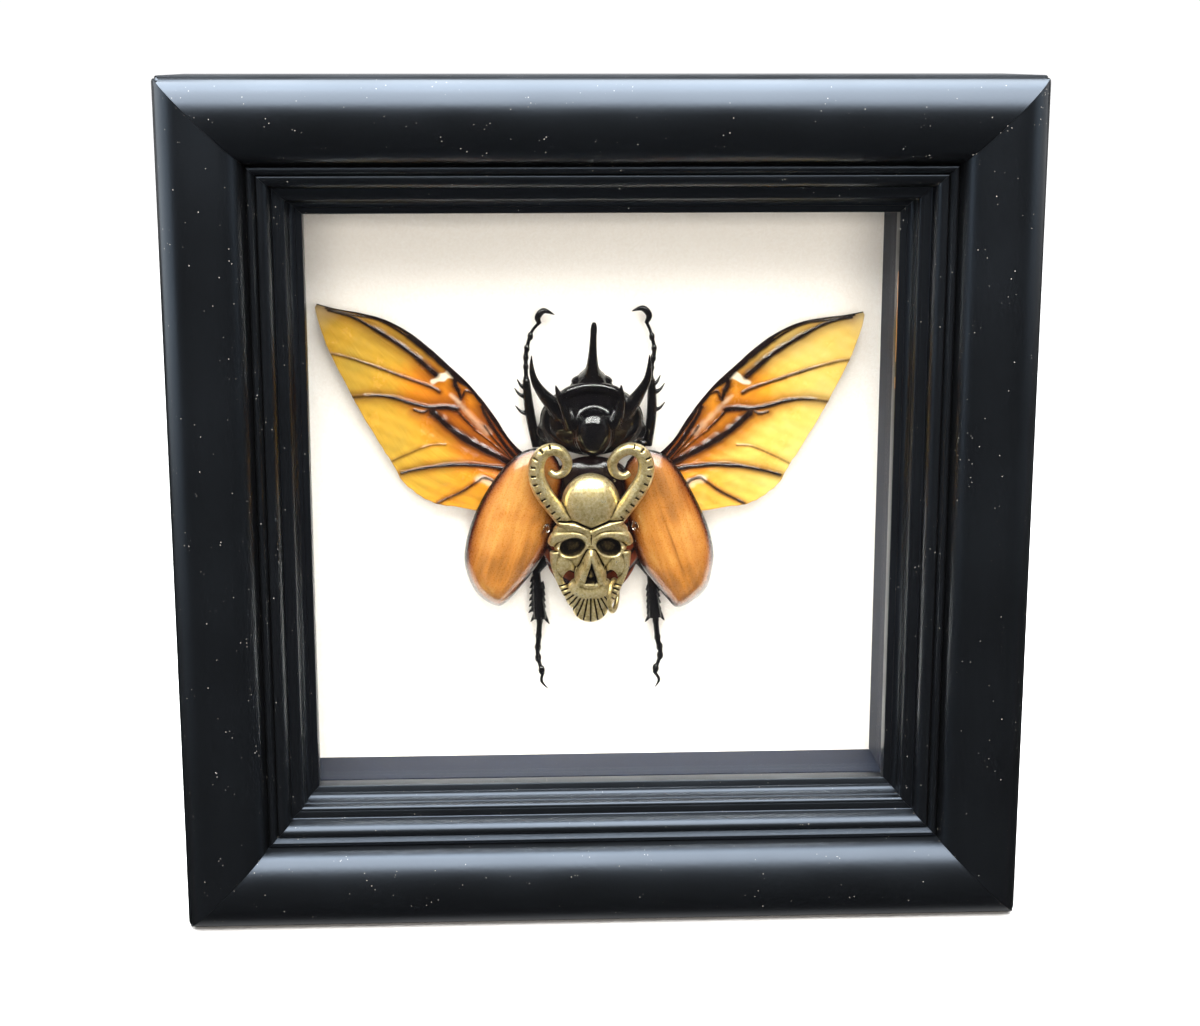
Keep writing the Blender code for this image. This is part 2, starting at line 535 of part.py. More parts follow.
def make_charm():
    bronze = finish("antique_bronze", (0.42, 0.33, 0.17), 0.35, metallic=1.0)
    middle = -2.6
    face_half = [(middle, -7.0), (-7.4, -6.4), (-12.6, -8.8), (-12.4, -11.2), (-10.9, -13.4), (-11.8, -16.4),
                 (-10.2, -20.8), (-9.0, -24.4), (-7.0, -28.0), (-4.8, -30.6), (middle, -31.6)]
    face = face_half + [(2 * middle - right, up) for right, up in reversed(face_half[1:-1])]
    plate = domed("plate", face, ((middle, -9.5), (middle, -26.0)), [(1.0, 11.0), (0.97, 10.6)],
                  [(1.0, 12.6), (0.93, 13.4), (0.7, 14.0), (0.4, 14.5)], bronze)
    cranium = ellipsoid("cranium", (middle, -1.6, 12.9), (6.8, 7.8, 3.7), bronze, 14, 8)
    brow = limb("brow", [(-12.2, -10.0, 13.0, 1.4), (-8.8, -7.8, 13.9, 2.0), (-5.4, -8.8, 14.4, 1.9),
                         (middle, -10.4, 14.2, 1.5), (0.2, -8.8, 14.4, 1.9), (3.6, -7.8, 13.9, 2.0),
                         (7.0, -10.0, 13.0, 1.4)], bronze, count=11)
    muzzle = limb("muzzle", [(middle, -13.2, 13.4, 1.2), (middle, -16.0, 14.2, 2.0), (middle, -20.0, 14.2, 3.2),
                             (middle, -24.0, 13.6, 5.0), (middle, -28.2, 12.6, 4.4),
                             (middle, -31.4, 11.8, 1.8)], bronze, sides=10, count=8, flat=0.5)
    horn_left = ram_horn([(-7.0, -6.8, 13.2, 1.6), (-9.4, -4.8, 13.8, 1.85), (-12.9, -1.2, 14.3, 1.9),
                          (-15.4, 3.4, 14.3, 1.9), (-15.4, 8.8, 14.3, 1.85), (-12.0, 12.4, 14.3, 1.75),
                          (-8.6, 10.4, 14.0, 1.55), (-8.7, 6.6, 13.6, 1.3), (-11.0, 5.4, 13.2, 1.0)], bronze)
    horn_right = ram_horn([(1.8, -6.8, 13.2, 1.6), (4.3, -4.8, 13.8, 1.85), (8.0, -1.2, 14.3, 1.9),
                           (10.7, 3.4, 14.3, 1.9), (10.8, 8.8, 14.3, 1.85), (7.2, 12.5, 14.3, 1.75),
                           (3.4, 10.6, 14.0, 1.55), (3.4, 6.8, 13.6, 1.3), (5.8, 5.6, 13.2, 1.0)], bronze)
    combine("skull_charm", plate, [cranium, brow, muzzle, horn_left, horn_right], "UNION")
    cutters = []
    for sign in (-1, 1):
        cutters.append(ellipsoid("socket", (middle + sign * 4.5, -12.3, 15.0), (2.8, 2.3, 3.0), bronze, 10, 6))
        cutters.append(hole_cutter("cheek_hole", (middle + sign * 5.5, -21.2, 13.0), 1.5, bronze))
    cutters.append(limb("nose", [(middle, -15.8, 15.6, 0.5), (middle, -20.8, 15.8, 2.1)], bronze, sides=6))
    combine("skull_charm", bpy.data.objects["skull_charm"], cutters, "DIFFERENCE")
    make_charm_ring(bronze)


def make_charm_ring(bronze):
    """A small ring through the cheek hole and round the edge of the jaw."""
    centre = (3.0, -25.2, 12.2)
    radius = 4.0
    wire = 0.4
    swing = math.radians(72)
    rings = []
    steps = 16
    bm = bmesh.new()
    for step in range(steps):
        angle = 2 * math.pi * step / steps
        outward = Vector((math.cos(angle) * math.cos(swing), -math.cos(angle) * math.sin(swing),
                          math.sin(angle)))
        normal = Vector((math.sin(swing), math.cos(swing), 0))
        ring = []
        for side in range(6):
            turn = 2 * math.pi * side / 6
            offset = outward * (radius + wire * math.cos(turn)) + normal * wire * math.sin(turn)
            ring.append(bm.verts.new(place(*centre) + offset * MM))
        rings.append(ring)
    for near, far in zip(rings, rings[1:] + rings[:1]):
        for k in range(6):
            after = (k + 1) % 6
            bm.faces.new((near[k], near[after], far[after], far[k]))
    new_object("charm_ring", bm, bronze)


def make_glue():
    glue = finish("clear_glue", (0.95, 0.9, 0.8), 0.1, transmission=1.0)
    ellipsoid("glue_dab_left", (-13.6, -8.0, 12.5), (0.9, 1.1, 0.55), glue, 8, 6)
    ellipsoid("glue_dab_right", (8.6, -7.6, 12.5), (0.9, 1.1, 0.55), glue, 8, 6)


remove_everything()
make_frame()
make_liner()
make_sheets()
make_framing_points()
make_hanger()
black_cuticle = finish("black_beetle_cuticle", (0.008, 0.008, 0.009), 0.12)
make_pronotum(black_cuticle)
make_head(black_cuticle)
make_body()
make_elytra()
make_hindwings()
make_legs(black_cuticle)
make_charm()
make_glue()
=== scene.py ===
import functools
import math

import bmesh
import bpy
import numpy as np
from mathutils import Matrix, Vector


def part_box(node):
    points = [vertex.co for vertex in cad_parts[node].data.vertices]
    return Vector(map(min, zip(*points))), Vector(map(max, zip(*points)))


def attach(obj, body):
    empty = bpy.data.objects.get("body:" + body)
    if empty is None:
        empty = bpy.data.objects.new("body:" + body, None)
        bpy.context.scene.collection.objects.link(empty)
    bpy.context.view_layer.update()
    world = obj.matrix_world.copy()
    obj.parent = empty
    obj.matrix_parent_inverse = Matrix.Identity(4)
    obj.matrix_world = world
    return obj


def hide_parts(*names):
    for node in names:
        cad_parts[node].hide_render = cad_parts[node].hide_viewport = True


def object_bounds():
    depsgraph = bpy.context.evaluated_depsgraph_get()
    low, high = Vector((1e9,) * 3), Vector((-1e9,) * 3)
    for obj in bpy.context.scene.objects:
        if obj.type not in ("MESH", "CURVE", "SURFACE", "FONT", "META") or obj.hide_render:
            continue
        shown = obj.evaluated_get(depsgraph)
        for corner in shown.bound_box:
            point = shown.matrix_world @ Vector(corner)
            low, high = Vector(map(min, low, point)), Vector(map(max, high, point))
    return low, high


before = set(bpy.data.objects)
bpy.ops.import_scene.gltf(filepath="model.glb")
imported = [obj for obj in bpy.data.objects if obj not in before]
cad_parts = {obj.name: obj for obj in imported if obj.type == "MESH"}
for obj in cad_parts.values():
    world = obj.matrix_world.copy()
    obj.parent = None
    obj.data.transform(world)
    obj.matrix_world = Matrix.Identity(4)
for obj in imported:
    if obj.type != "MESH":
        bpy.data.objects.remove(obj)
cad_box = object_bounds()

# Frame rails. Four lengths of moulded poplar, mitred and glued at the corners,
# sprayed with black satin lacquer that sits a little thick in the grooves and has
# caught fine dust there.

MM = 0.001
crest, underside = cad_box[0][1:]
top_side = cad_box[1][2]
middle_up = (underside + top_side) / 2
half_outer = (top_side - underside) / 2
rail_width = 31.65
rail_depth = 49.8
lip_back = 21.8
rebate_inner = 25.1
mitre_gap = 0.03
dust_grooves = ((19.4, 23.4), (25.2, 27.0), (28.1, 28.6))


def linear(hex_colour):
    """A linear RGBA from an sRGB hex value."""
    parts = [int(hex_colour[k:k + 2], 16) / 255 for k in (1, 3, 5)]
    return [c / 12.92 if c <= 0.04045 else ((c + 0.055) / 1.055) ** 2.4 for c in parts] + [1.0]


def set_sockets(node, **sockets):
    """Sets a node's sockets, by name or by i and number, to values or to links from other nodes."""
    for name, value in sockets.items():
        numbered = name[0] == "i" and name[1:].isdigit()
        socket = node.inputs[int(name[1:]) if numbered else name.replace("_", " ")]
        if isinstance(value, bpy.types.Node):
            value = value.outputs[0]
        if isinstance(value, bpy.types.NodeSocket):
            node.id_data.links.new(value, socket)
        else:
            socket.default_value = value


def add_node(owner, kind, settings=None, **sockets):
    """A node with its settings and sockets. The setting "stops" fills a colour ramp."""
    node = owner.node_tree.nodes.new("ShaderNode" + kind)
    for name, value in (settings or {}).items():
        if name == "stops":
            while len(node.color_ramp.elements) < len(value):
                node.color_ramp.elements.new(0.5)
            for element, (position, colour) in zip(node.color_ramp.elements, value):
                element.position = position
                element.color = linear(colour) if isinstance(colour, str) else colour
        else:
            setattr(node, name, value)
    set_sockets(node, **sockets)
    return node


def new_finish(name):
    """A new material, its shader, the object's own coordinates, and add_node for this material."""
    material = bpy.data.materials.new(name)
    material.use_nodes = True
    add = functools.partial(add_node, material)
    return material, material.node_tree.nodes["Principled BSDF"], add("TexCoord").outputs["Object"], add


def satin_lacquer():
    """Sprayed black lacquer: a soft sheen, faint orange peel, caught dust and one thin brown stripe."""
    material, shader, where, add = new_finish("satin_black_lacquer_sprayed")
    peel = add("TexNoise", Vector=where, Scale=1 / (1.1 * MM), Detail=2.0)
    sheen = add("TexNoise", Vector=where, Scale=1 / (29 * MM), Detail=3.0)
    place = add("SeparateXYZ", Vector=where)
    # dust: small specks, more of them in the grooves and along the mitres
    speck = add("TexVoronoi", Vector=where, Scale=1 / (1.2 * MM))
    rare = add("TexNoise", Vector=where, Scale=1 / (5 * MM), Detail=2.0)
    catch = add("Attribute", {"attribute_name": "catch"}).outputs["Fac"]
    level = add("Math", {"operation": "SUBTRACT"}, i0=place.outputs[2], i1=middle_up)
    sideways = add("Math", {"operation": "ABSOLUTE"}, i0=place)
    upward = add("Math", {"operation": "ABSOLUTE"}, i0=level)
    at_mitre = add("Math", {"operation": "COMPARE"}, i0=sideways, i1=upward, i2=0.5 * MM)
    dusty = add("Math", {"operation": "MAXIMUM"}, i0=catch, i1=at_mitre)
    likely = add("Math", {"operation": "MULTIPLY_ADD"}, i0=dusty, i1=0.16, i2=rare)
    size = add("MapRange", Value=speck.outputs["Distance"], From_Min=0.11, From_Max=0.07)
    spread = add("MapRange", Value=likely, From_Min=0.56, From_Max=0.62)
    dust = add("Math", {"operation": "MULTIPLY"}, i0=size, i1=spread)
    colour = add("ValToRGB", {"stops": [(0.0, "#050505"), (1.0, "#8f8b84")]}, Fac=dust)
    # a thin mottled brown stripe along the front of the right rail's inner lip face
    brown_stripe = add("Math", {"operation": "GREATER_THAN"}, i0=sheen, i1=0.46)
    for output, middle, half in ((2, middle_up + 42.0 * MM, 14.0 * MM), (1, crest + 18.4 * MM, 0.3 * MM),
                                 (0, half_outer - rail_width * MM, 0.25 * MM)):
        inside = add("Math", {"operation": "COMPARE"}, i0=place.outputs[output], i1=middle, i2=half)
        brown_stripe = add("Math", {"operation": "MULTIPLY"}, i0=brown_stripe, i1=inside)
    striped = add("Mix", {"data_type": "RGBA"}, Factor=brown_stripe, i6=colour, i7=linear("#8a5a2c"))
    rough = add("MapRange", Value=sheen, From_Min=0.3, From_Max=0.7, To_Min=0.3, To_Max=0.38)
    bump = add("Bump", Strength=0.16, Distance=0.0001, Height=peel)
    set_sockets(shader, Base_Color=striped.outputs[2], Roughness=rough, Normal=bump, Specular_IOR_Level=0.75,
                Specular_Tint=linear("#cddff6"))
    return material


def put(name, data):
    """A new object in the scene that holds this mesh, curve, lamp or camera."""
    piece = bpy.data.objects.new(name, data)
    bpy.context.collection.objects.link(piece)
    return piece


def put_form(name, form):
    """A new object made from a bmesh."""
    mesh = bpy.data.meshes.new(name)
    form.to_mesh(mesh)
    form.free()
    return put(name, mesh)


def select_only(*objects):
    bpy.ops.object.select_all(action="DESELECT")
    for piece in objects:
        piece.select_set(True)
    bpy.context.view_layer.objects.active = objects[0]


def apply_modifier(piece, kind, **settings):
    """A modifier set up and applied."""
    select_only(piece)
    modifier = piece.modifiers.new(kind.title(), kind)
    for name, value in settings.items():
        setattr(modifier, name, value)
    bpy.ops.object.modifier_apply(modifier=modifier.name)


def place_in_mesh(piece):
    select_only(piece)
    bpy.ops.object.transform_apply(location=True, rotation=True, scale=True)


def merge_doubles(threshold):
    """The active piece's doubles merged and its faces turned outwards."""
    bpy.ops.object.mode_set(mode="EDIT")
    bpy.ops.mesh.select_all(action="SELECT")
    bpy.ops.mesh.remove_doubles(threshold=threshold)
    bpy.ops.mesh.normals_make_consistent(inside=False)
    bpy.ops.object.mode_set(mode="OBJECT")


def settle(piece, material, node, angle=180):
    """A finished piece: its place in its mesh, smooth, with its material, riding on the frame."""
    place_in_mesh(piece)
    merge_doubles(0.000005)
    bpy.ops.object.shade_smooth_by_angle(angle=math.radians(angle))
    piece.data.materials.clear()
    piece.data.materials.append(material)
    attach(piece, "root")
    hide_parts(node)


def moulding_section():
    """The rail's section, (in from the outer side, back from the crest), in millimetres."""
    section = []
    for step in range(22):
        angle = math.radians(90) * step / 21
        section.append((9.0 * (1 - math.cos(angle)), 8.5 * (1 - math.sin(angle))))
    for step in range(1, 22):
        angle = math.radians(84) * step / 21
        section.append((9.0 + 10.6 * math.sin(angle), 7.2 * (1 - math.cos(angle))))
    for centre, radius, start, end in (((20.9, 7.5), 0.8, 180, 20), ((22.7, 8.2), 0.45, 200, 95)):
        for step in range(7):
            angle = math.radians(start + (end - start) * step / 6)
            section.append((centre[0] + radius * math.cos(angle), centre[1] - radius * math.sin(angle)))
    for step in range(1, 9):
        angle = math.radians(90) * step / 8
        section.append((22.7 + 2.6 * math.sin(angle), 7.75 + 3.8 * (1 - math.cos(angle))))
    section += [(25.35, 12.0), (25.5, 12.2), (26.9, 12.3)]
    for step in range(6):
        angle = math.radians(100 - 100 * step / 5)
        section.append((27.3 + 0.9 * math.cos(angle), 13.4 - 1.0 * math.sin(angle)))
    section += [(28.25, 14.6), (28.45, 14.9)]
    for step in range(1, 7):
        angle = math.radians(90) * step / 6
        section.append((28.45 + 1.5 * (1 - math.cos(angle)), 14.9 + 2.3 * math.sin(angle)))
    section += [(30.1, 17.55), (31.3, 17.85), (31.55, 18.0), (rail_width, 18.3), (rail_width, lip_back),
                (rebate_inner, lip_back), (rebate_inner, rail_depth), (0.0, rail_depth)]
    return section


lacquer = satin_lacquer()
for side, turn in (("bottom", 0), ("right", -90), ("top", 180), ("left", 90)):
    section = bmesh.new()
    near = [section.verts.new((-half_outer + (inward + mitre_gap) * MM, crest + depth * MM,
                               inward * MM - half_outer)) for inward, depth in moulding_section()]
    section.faces.new(near)
    rail = put_form("rail_" + side, section)
    select_only(rail)
    bpy.ops.object.mode_set(mode="EDIT")
    bpy.ops.mesh.select_all(action="SELECT")
    bpy.ops.mesh.extrude_region_move(TRANSFORM_OT_translate={"value": (half_outer, 0, 0)})
    bpy.ops.object.mode_set(mode="OBJECT")
    for vert in rail.data.vertices:
        if vert.select:
            vert.co.x = -vert.co.z - mitre_gap * MM
    caught = {round(inward + mitre_gap, 3): float(any(start < inward < end for start, end in dust_grooves))
              for inward, _ in moulding_section()}
    layer = rail.data.attributes.new("catch", "FLOAT", "POINT")
    for vert in rail.data.vertices:
        layer.data[vert.index].value = caught.get(round((vert.co.z + half_outer) / MM, 3), 0.0)
    corners = bmesh.new()
    corners.from_mesh(rail.data)
    outside = (0.6 + mitre_gap) * MM - half_outer
    sharp = [line for line in corners.edges
             if all(end.co.z < outside and abs(abs(end.co.x) + end.co.z) < 0.1 * MM for end in line.verts)]
    bmesh.ops.bevel(corners, geom=sharp, offset=1.3 * MM, segments=4, profile=0.5, affect="EDGES")
    for vert in corners.verts:
        vert.co.z = max(vert.co.z, 0.001 * MM - half_outer)
        vert.co.x = min(max(vert.co.x, mitre_gap * MM - half_outer), half_outer - mitre_gap * MM)
    corners.to_mesh(rail.data)
    corners.free()
    rail.rotation_euler.y = math.radians(turn)
    rail.location.z = middle_up
    settle(rail, lacquer, "frame_rail_" + side, angle=24)

# Liner. Four strips of black-faced foam board, cut square and glued to the mount
# board, that keep it off the glass. The paper face is matte with a fine tooth.


def toothed_paper(name, dark, light, grain_mm, roughness, specular):
    """Paper face: two close tones in a fine fibre pattern and a slight tooth."""
    material, shader, where, add = new_finish(name)
    fibre = add("TexNoise", Vector=where, Scale=1 / (grain_mm * MM), Detail=4.0)
    colour = add("ValToRGB", {"stops": [(0.3, dark), (0.7, light)]}, Fac=fibre)
    bump = add("Bump", Strength=0.15, Distance=0.0001, Height=fibre)
    set_sockets(shader, Base_Color=colour, Normal=bump, Roughness=roughness, Specular_IOR_Level=specular)
    return material


def refinish(material, *nodes):
    """A better material on CAD nodes whose shape is right."""
    for node in nodes:
        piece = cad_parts[node]
        for index in range(len(piece.material_slots)):
            piece.material_slots[index].material = material
        if not piece.material_slots:
            piece.data.materials.append(material)


liner_face = toothed_paper("black_paper_faced_board", "#0a1120", "#121d31", 0.5, 0.7, 0.35)
refinish(liner_face, *["liner_strip_" + side for side in ("bottom", "right", "top", "left")])

# Mount board and back. A white card board that the beetle is glued to, and behind
# it a sheet of brown hardboard with its smooth side out.

white_card = toothed_paper("white_card_mount", "#f5f0e9", "#fdfaf6", 0.4, 0.75, 0.4)
refinish(white_card, "mount_board")


def pressed_hardboard():
    """Hardboard: brown wood fibre pressed flat, mottled, with dark flecks."""
    material, shader, where, add = new_finish("hardboard_pressed_fibre")
    mottle = add("TexNoise", Vector=where, Scale=1 / (8.3 * MM), Detail=8.0, Roughness=0.7)
    fleck = add("TexNoise", Vector=where, Scale=1 / (0.71 * MM), Detail=2.0)
    mixed = add("Math", {"operation": "MULTIPLY"}, i0=mottle, i1=fleck)
    tones = [(0.12, "#3d2414"), (0.25, "#6b4527"), (0.4, "#8a6038")]
    colour = add("ValToRGB", {"stops": tones}, Fac=mixed)
    bump = add("Bump", Strength=0.2, Distance=0.0001, Height=fleck)
    set_sockets(shader, Base_Color=colour, Normal=bump, Roughness=0.6)
    return material


refinish(pressed_hardboard(), "back_panel")

# Fixings at the back. Flat framing points pressed into the rebate, and a sawtooth
# hanger with two nails: rolled steel, blued or zinc plated.


def rolled_steel(name, dark, light, roughness):
    """Rolled sheet steel: drawn streaks along it and a slightly uneven plating."""
    material, shader, where, add = new_finish(name)
    stretch = add("Mapping", Vector=where, Scale=(1 / (16 * MM), 1 / (0.5 * MM), 1 / (0.4 * MM)))
    streak = add("TexNoise", Vector=stretch, Scale=1.0, Detail=4.0)
    colour = add("ValToRGB", {"stops": [(0.3, dark), (0.7, light)]}, Fac=streak)
    rough = add("MapRange", Value=streak, To_Min=roughness - 0.08, To_Max=roughness + 0.1)
    set_sockets(shader, Base_Color=colour, Roughness=rough, Metallic=1.0)
    return material


refinish(rolled_steel("blued_spring_steel", "#3b4048", "#5a616b", 0.35),
         *["framing_point_%d" % k for k in range(1, 9)])
refinish(rolled_steel("zinc_plated_steel", "#a8a9a8", "#d0d1cf", 0.32), "sawtooth_hanger", "hanger_nail_left",
         "hanger_nail_right")

# Glass. A 2 mm pane of clear float glass behind the lip, clean, with a faint green
# in its thickness. It lets the lamps through, as a thin pane does.


def float_glass():
    """Float glass: clear and smooth, with the faintest smear and a trace of green."""
    material, shader, where, add = new_finish("clear_float_glass")
    smear = add("TexNoise", Vector=where, Scale=1 / (56 * MM), Detail=2.0)
    rough = add("MapRange", Value=smear, To_Min=0.0, To_Max=0.012)
    set_sockets(shader, Base_Color=linear("#fdfffe"), Roughness=rough, Transmission_Weight=1.0, IOR=1.5)
    return material


refinish(float_glass(), "glass_pane")
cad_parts["glass_pane"].visible_shadow = False

# Pronotum. The shield behind the head, one shell with a polished central boss, two
# long side horns and two short blades: black cuticle with a mirror gloss.

board_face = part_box("mount_board")[0][1]
axis = -2.0


def spot(right, up, height):
    """A point by its place on the mount board and its height off it, in millimetres."""
    return Vector((right * MM, board_face - height * MM, middle_up + up * MM))


def smooth_path(points, count):
    """Points on a Catmull-Rom curve through the given ones."""
    knots = np.array(points, dtype=float)
    last = len(knots) - 1
    where = np.linspace(0, last, count)
    index = np.minimum(where.astype(int), last - 1)
    t = (where - index)[:, None]
    a, b, c, d = (knots[np.clip(index + k, 0, last)] for k in (-1, 0, 1, 2))
    return 0.5 * (2 * b + (c - a) * t + (2 * a - 5 * b + 4 * c - d) * t ** 2
                  + (3 * b - a - 3 * c + d) * t ** 3)


def strand(stations, count=40, resolution=5):
    """A round tapering strand through stations of (right, up, height, radius), made a mesh."""
    curve = bpy.data.curves.new("strand", "CURVE")
    curve.dimensions = "3D"
    curve.bevel_depth = MM
    curve.bevel_resolution = resolution
    curve.use_fill_caps = True
    spline = curve.splines.new("POLY")
    path = smooth_path(stations, count)
    spline.points.add(len(path) - 1)
    for point, (right, up, height, radius) in zip(spline.points, path):
        point.co = (*spot(right, up, height), 1.0)
        point.radius = max(radius, 0.05)
    select_only(put("strand", curve))
    bpy.ops.object.convert(target="MESH")
    merge_doubles(0.000002)
    return bpy.context.object


def arch(centre, half, crown):
    """Stations of an even arch: one side as (out, up, height, radius), the crown, the other side."""
    return ([(centre - out, *rest) for out, *rest in half] + [(centre, *crown)]
            + [(centre + out, *rest) for out, *rest in half[::-1]])


def ball(centre, radii, turn=0.0, segments=40):
    """A stretched sphere at (right, up, height) with its three radii, turned in the board's plane."""
    bpy.ops.mesh.primitive_uv_sphere_add(segments=segments, ring_count=segments // 2, radius=MM,
                                         location=spot(*centre))
    piece = bpy.context.object
    piece.scale = (radii[0], radii[2], radii[1])
    piece.rotation_euler.y = math.radians(turn)
    place_in_mesh(piece)
    return piece


def fused(name, parts, voxel, smoothing):
    """Overlapping closed forms made one skin, its joins softened."""
    select_only(*parts)
    bpy.ops.object.join()
    piece = bpy.context.object
    piece.name = name
    apply_modifier(piece, "REMESH", mode="VOXEL", voxel_size=voxel * MM, adaptivity=0.0)
    apply_modifier(piece, "SMOOTH", factor=0.5, iterations=smoothing)
    return piece


def mesh_points(piece):
    """The piece's vertices as (right, up, height) in millimetres."""
    flat = np.empty(len(piece.data.vertices) * 3, dtype=np.float32)
    piece.data.vertices.foreach_get("co", flat)
    points = flat.reshape(-1, 3).astype(float)
    right, deep, up = points.T
    return np.stack([right / MM, (up - middle_up) / MM, (board_face - deep) / MM], axis=1)


def move_points(piece, points):
    """Puts the piece's vertices at (right, up, height) in millimetres."""
    right, up, height = points.T
    flat = np.stack([right * MM, board_face - height * MM, up * MM + middle_up], axis=1)
    piece.data.vertices.foreach_set("co", flat.astype(np.float32).ravel())
    piece.data.update()


def polished_cuticle():
    """Beetle cuticle: near black, glossy, with the finest pits and a trace of brown where it thins."""
    material, shader, where, add = new_finish("black_beetle_cuticle_glossy")
    cloud = add("TexNoise", Vector=where, Scale=1 / (4.5 * MM), Detail=3.0)
    pits = add("TexVoronoi", Vector=where, Scale=1 / (0.45 * MM))
    colour = add("ValToRGB", {"stops": [(0.35, "#030304"), (0.75, "#080606")]}, Fac=cloud)
    rough = add("MapRange", Value=cloud, From_Min=0.3, From_Max=0.8, To_Min=0.04, To_Max=0.1)
    bump = add("Bump", Strength=0.02, Distance=0.0001, Height=pits.outputs["Distance"])
    set_sockets(shader, Base_Color=colour, Roughness=rough, Normal=bump, Specular_IOR_Level=0.8)
    return material


cuticle = polished_cuticle()
shield_core = fused("pronotum_core", [
    ball((axis, 18.2, 5.8), (12.9, 9.0, 5.9)),
    ball((axis, 15.4, 5.4), (13.9, 5.4, 2.8)),
    ball((axis + 0.2, 16.0, 10.2), (5.0, 6.2, 4.6)),
    ball((axis, 22.6, 7.6), (8.8, 4.8, 3.6)),
    strand(arch(axis, [(8.6, 21.8, 9.2, 1.4), (6.4, 25.2, 9.8, 1.5), (3.0, 26.6, 10.2, 1.5)],
                (26.9, 10.3, 1.5)), 50),
], 0.25, 34)
points = mesh_points(shield_core)
right, up, height = points.T
bowl = np.hypot((right - axis) / 5.2, (up - 23.6) / 2.4)
height -= 0.5 * np.exp(-bowl ** 2) * (height > 7)
move_points(shield_core, points)
shield_parts = [shield_core]
for sign, shorter in ((-1, 0.0), (1, 1.1)):
    long_horn = [(axis + sign * 6.6, 19.4, 8.4, 2.8), (axis + sign * 9.6, 22.6, 9.6, 2.0),
                 (axis + sign * (12.3 - shorter * 0.6), 25.8, 11.0, 1.4),
                 (axis + sign * (14.1 - shorter * 0.8), 29.0, 12.2, 1.0),
                 (axis + sign * (14.8 - shorter), 32.3, 12.9, 0.62),
                 (axis + sign * (14.8 - shorter), 35.3, 13.2, 0.2)]
    short_horn = [(axis + sign * 5.4, 17.0, 10.4, 1.5), (axis + sign * 6.6, 21.2, 12.2, 1.2),
                  (axis + sign * (8.2 - shorter * 1.2), 25.4, 13.8, 0.85),
                  (axis + sign * (9.1 - shorter * 2.1), 28.2, 14.4, 0.2)]
    shield_parts += [strand(long_horn, 50), strand(short_horn, 36)]
shield = fused("pronotum_shield", shield_parts, 0.17, 16)
settle(shield, cuticle, "beetle_pronotum")

# Head. A small black head tucked under the shield, drawn out into one tall horn
# that curves back over it to a blunt tip.

head_parts = [ball((axis, 25.4, 5.8), (5.6, 4.4, 2.8)), ball((axis, 28.0, 7.2), (5.1, 2.0, 2.2)),
              strand([(-2.0, 27.2, 7.0, 4.2), (-2.0, 28.8, 8.2, 3.5), (-2.0, 30.0, 9.2, 2.6),
                      (-2.0, 31.2, 10.2, 1.9), (-2.0, 32.8, 11.0, 1.45), (-1.95, 36.0, 11.9, 1.05),
                      (-1.85, 39.6, 12.7, 0.85), (-1.75, 41.8, 13.1, 0.85), (-1.7, 43.2, 13.2, 0.45)], 70)]
head = fused("horned_head", head_parts, 0.16, 6)
settle(head, cuticle, "beetle_head")

# Body. Thorax and abdomen in red-brown chitin, ringed by the joints of its plates,
# lying under the wing cases with its underside on the board.


def banded_chitin():
    """Glossy red-brown chitin with darker joints between the plates."""
    material, shader, where, add = new_finish("red_brown_chitin_glossy")
    joint = add("Attribute", {"attribute_name": "joint"}).outputs["Fac"]
    cloud = add("TexNoise", Vector=where, Scale=1 / (3.3 * MM), Detail=4.0)
    mixed = add("Math", {"operation": "MULTIPLY_ADD"}, i0=cloud, i1=0.5, i2=joint)
    tones = [(0.2, "#6a2c10"), (0.45, "#3a1208"), (0.9, "#120606")]
    colour = add("ValToRGB", {"stops": tones}, Fac=mixed)
    bump = add("Bump", Strength=0.2, Distance=0.0002, Height=cloud)
    set_sockets(shader, Base_Color=colour, Normal=bump, Roughness=0.22, Coat_Weight=0.5, Coat_Roughness=0.06)
    return material


def set_attribute(piece, name, values):
    layer = piece.data.attributes.new(name, "FLOAT", "POINT")
    layer.data.foreach_set("value", np.ascontiguousarray(values, dtype=np.float32))


def edge(value, at, soft):
    """A soft step: 0 where the value is below, 1 above."""
    return np.clip((value - at) / soft + 0.5, 0, 1)


body = fused("beetle_thorax_and_abdomen", [
    ball((axis, -9.5, 5.3), (13.0, 18.2, 3.3)),
    ball((axis, -9.0, 3.0), (4.8, 15.0, 2.8)),
    ball((axis, 3.0, 5.4), (9.6, 6.0, 3.2)),
    ball((axis, 6.4, 6.0), (3.4, 2.8, 1.6)),
], 0.22, 8)
points = mesh_points(body)
right, up, height = points.T
ring_spacing = 4.2
phase = (up - 0.06 * (right - axis) ** 2) / ring_spacing
groove = np.exp(-((phase - np.round(phase)) * ring_spacing / 0.5) ** 2) * (up < 0)
height -= 0.22 * groove * (height > 5)
move_points(body, points)
set_attribute(body, "joint", groove * 0.7 + edge(up, 0.0, 3.0))
settle(body, banded_chitin(), "beetle_body")

# Wing cases. A pair of hard domed shells, hinged at the shoulder and spread: horn
# thin, polished caramel brown with a faint lengthwise grain and a near-black hem.

case_height = 5.4


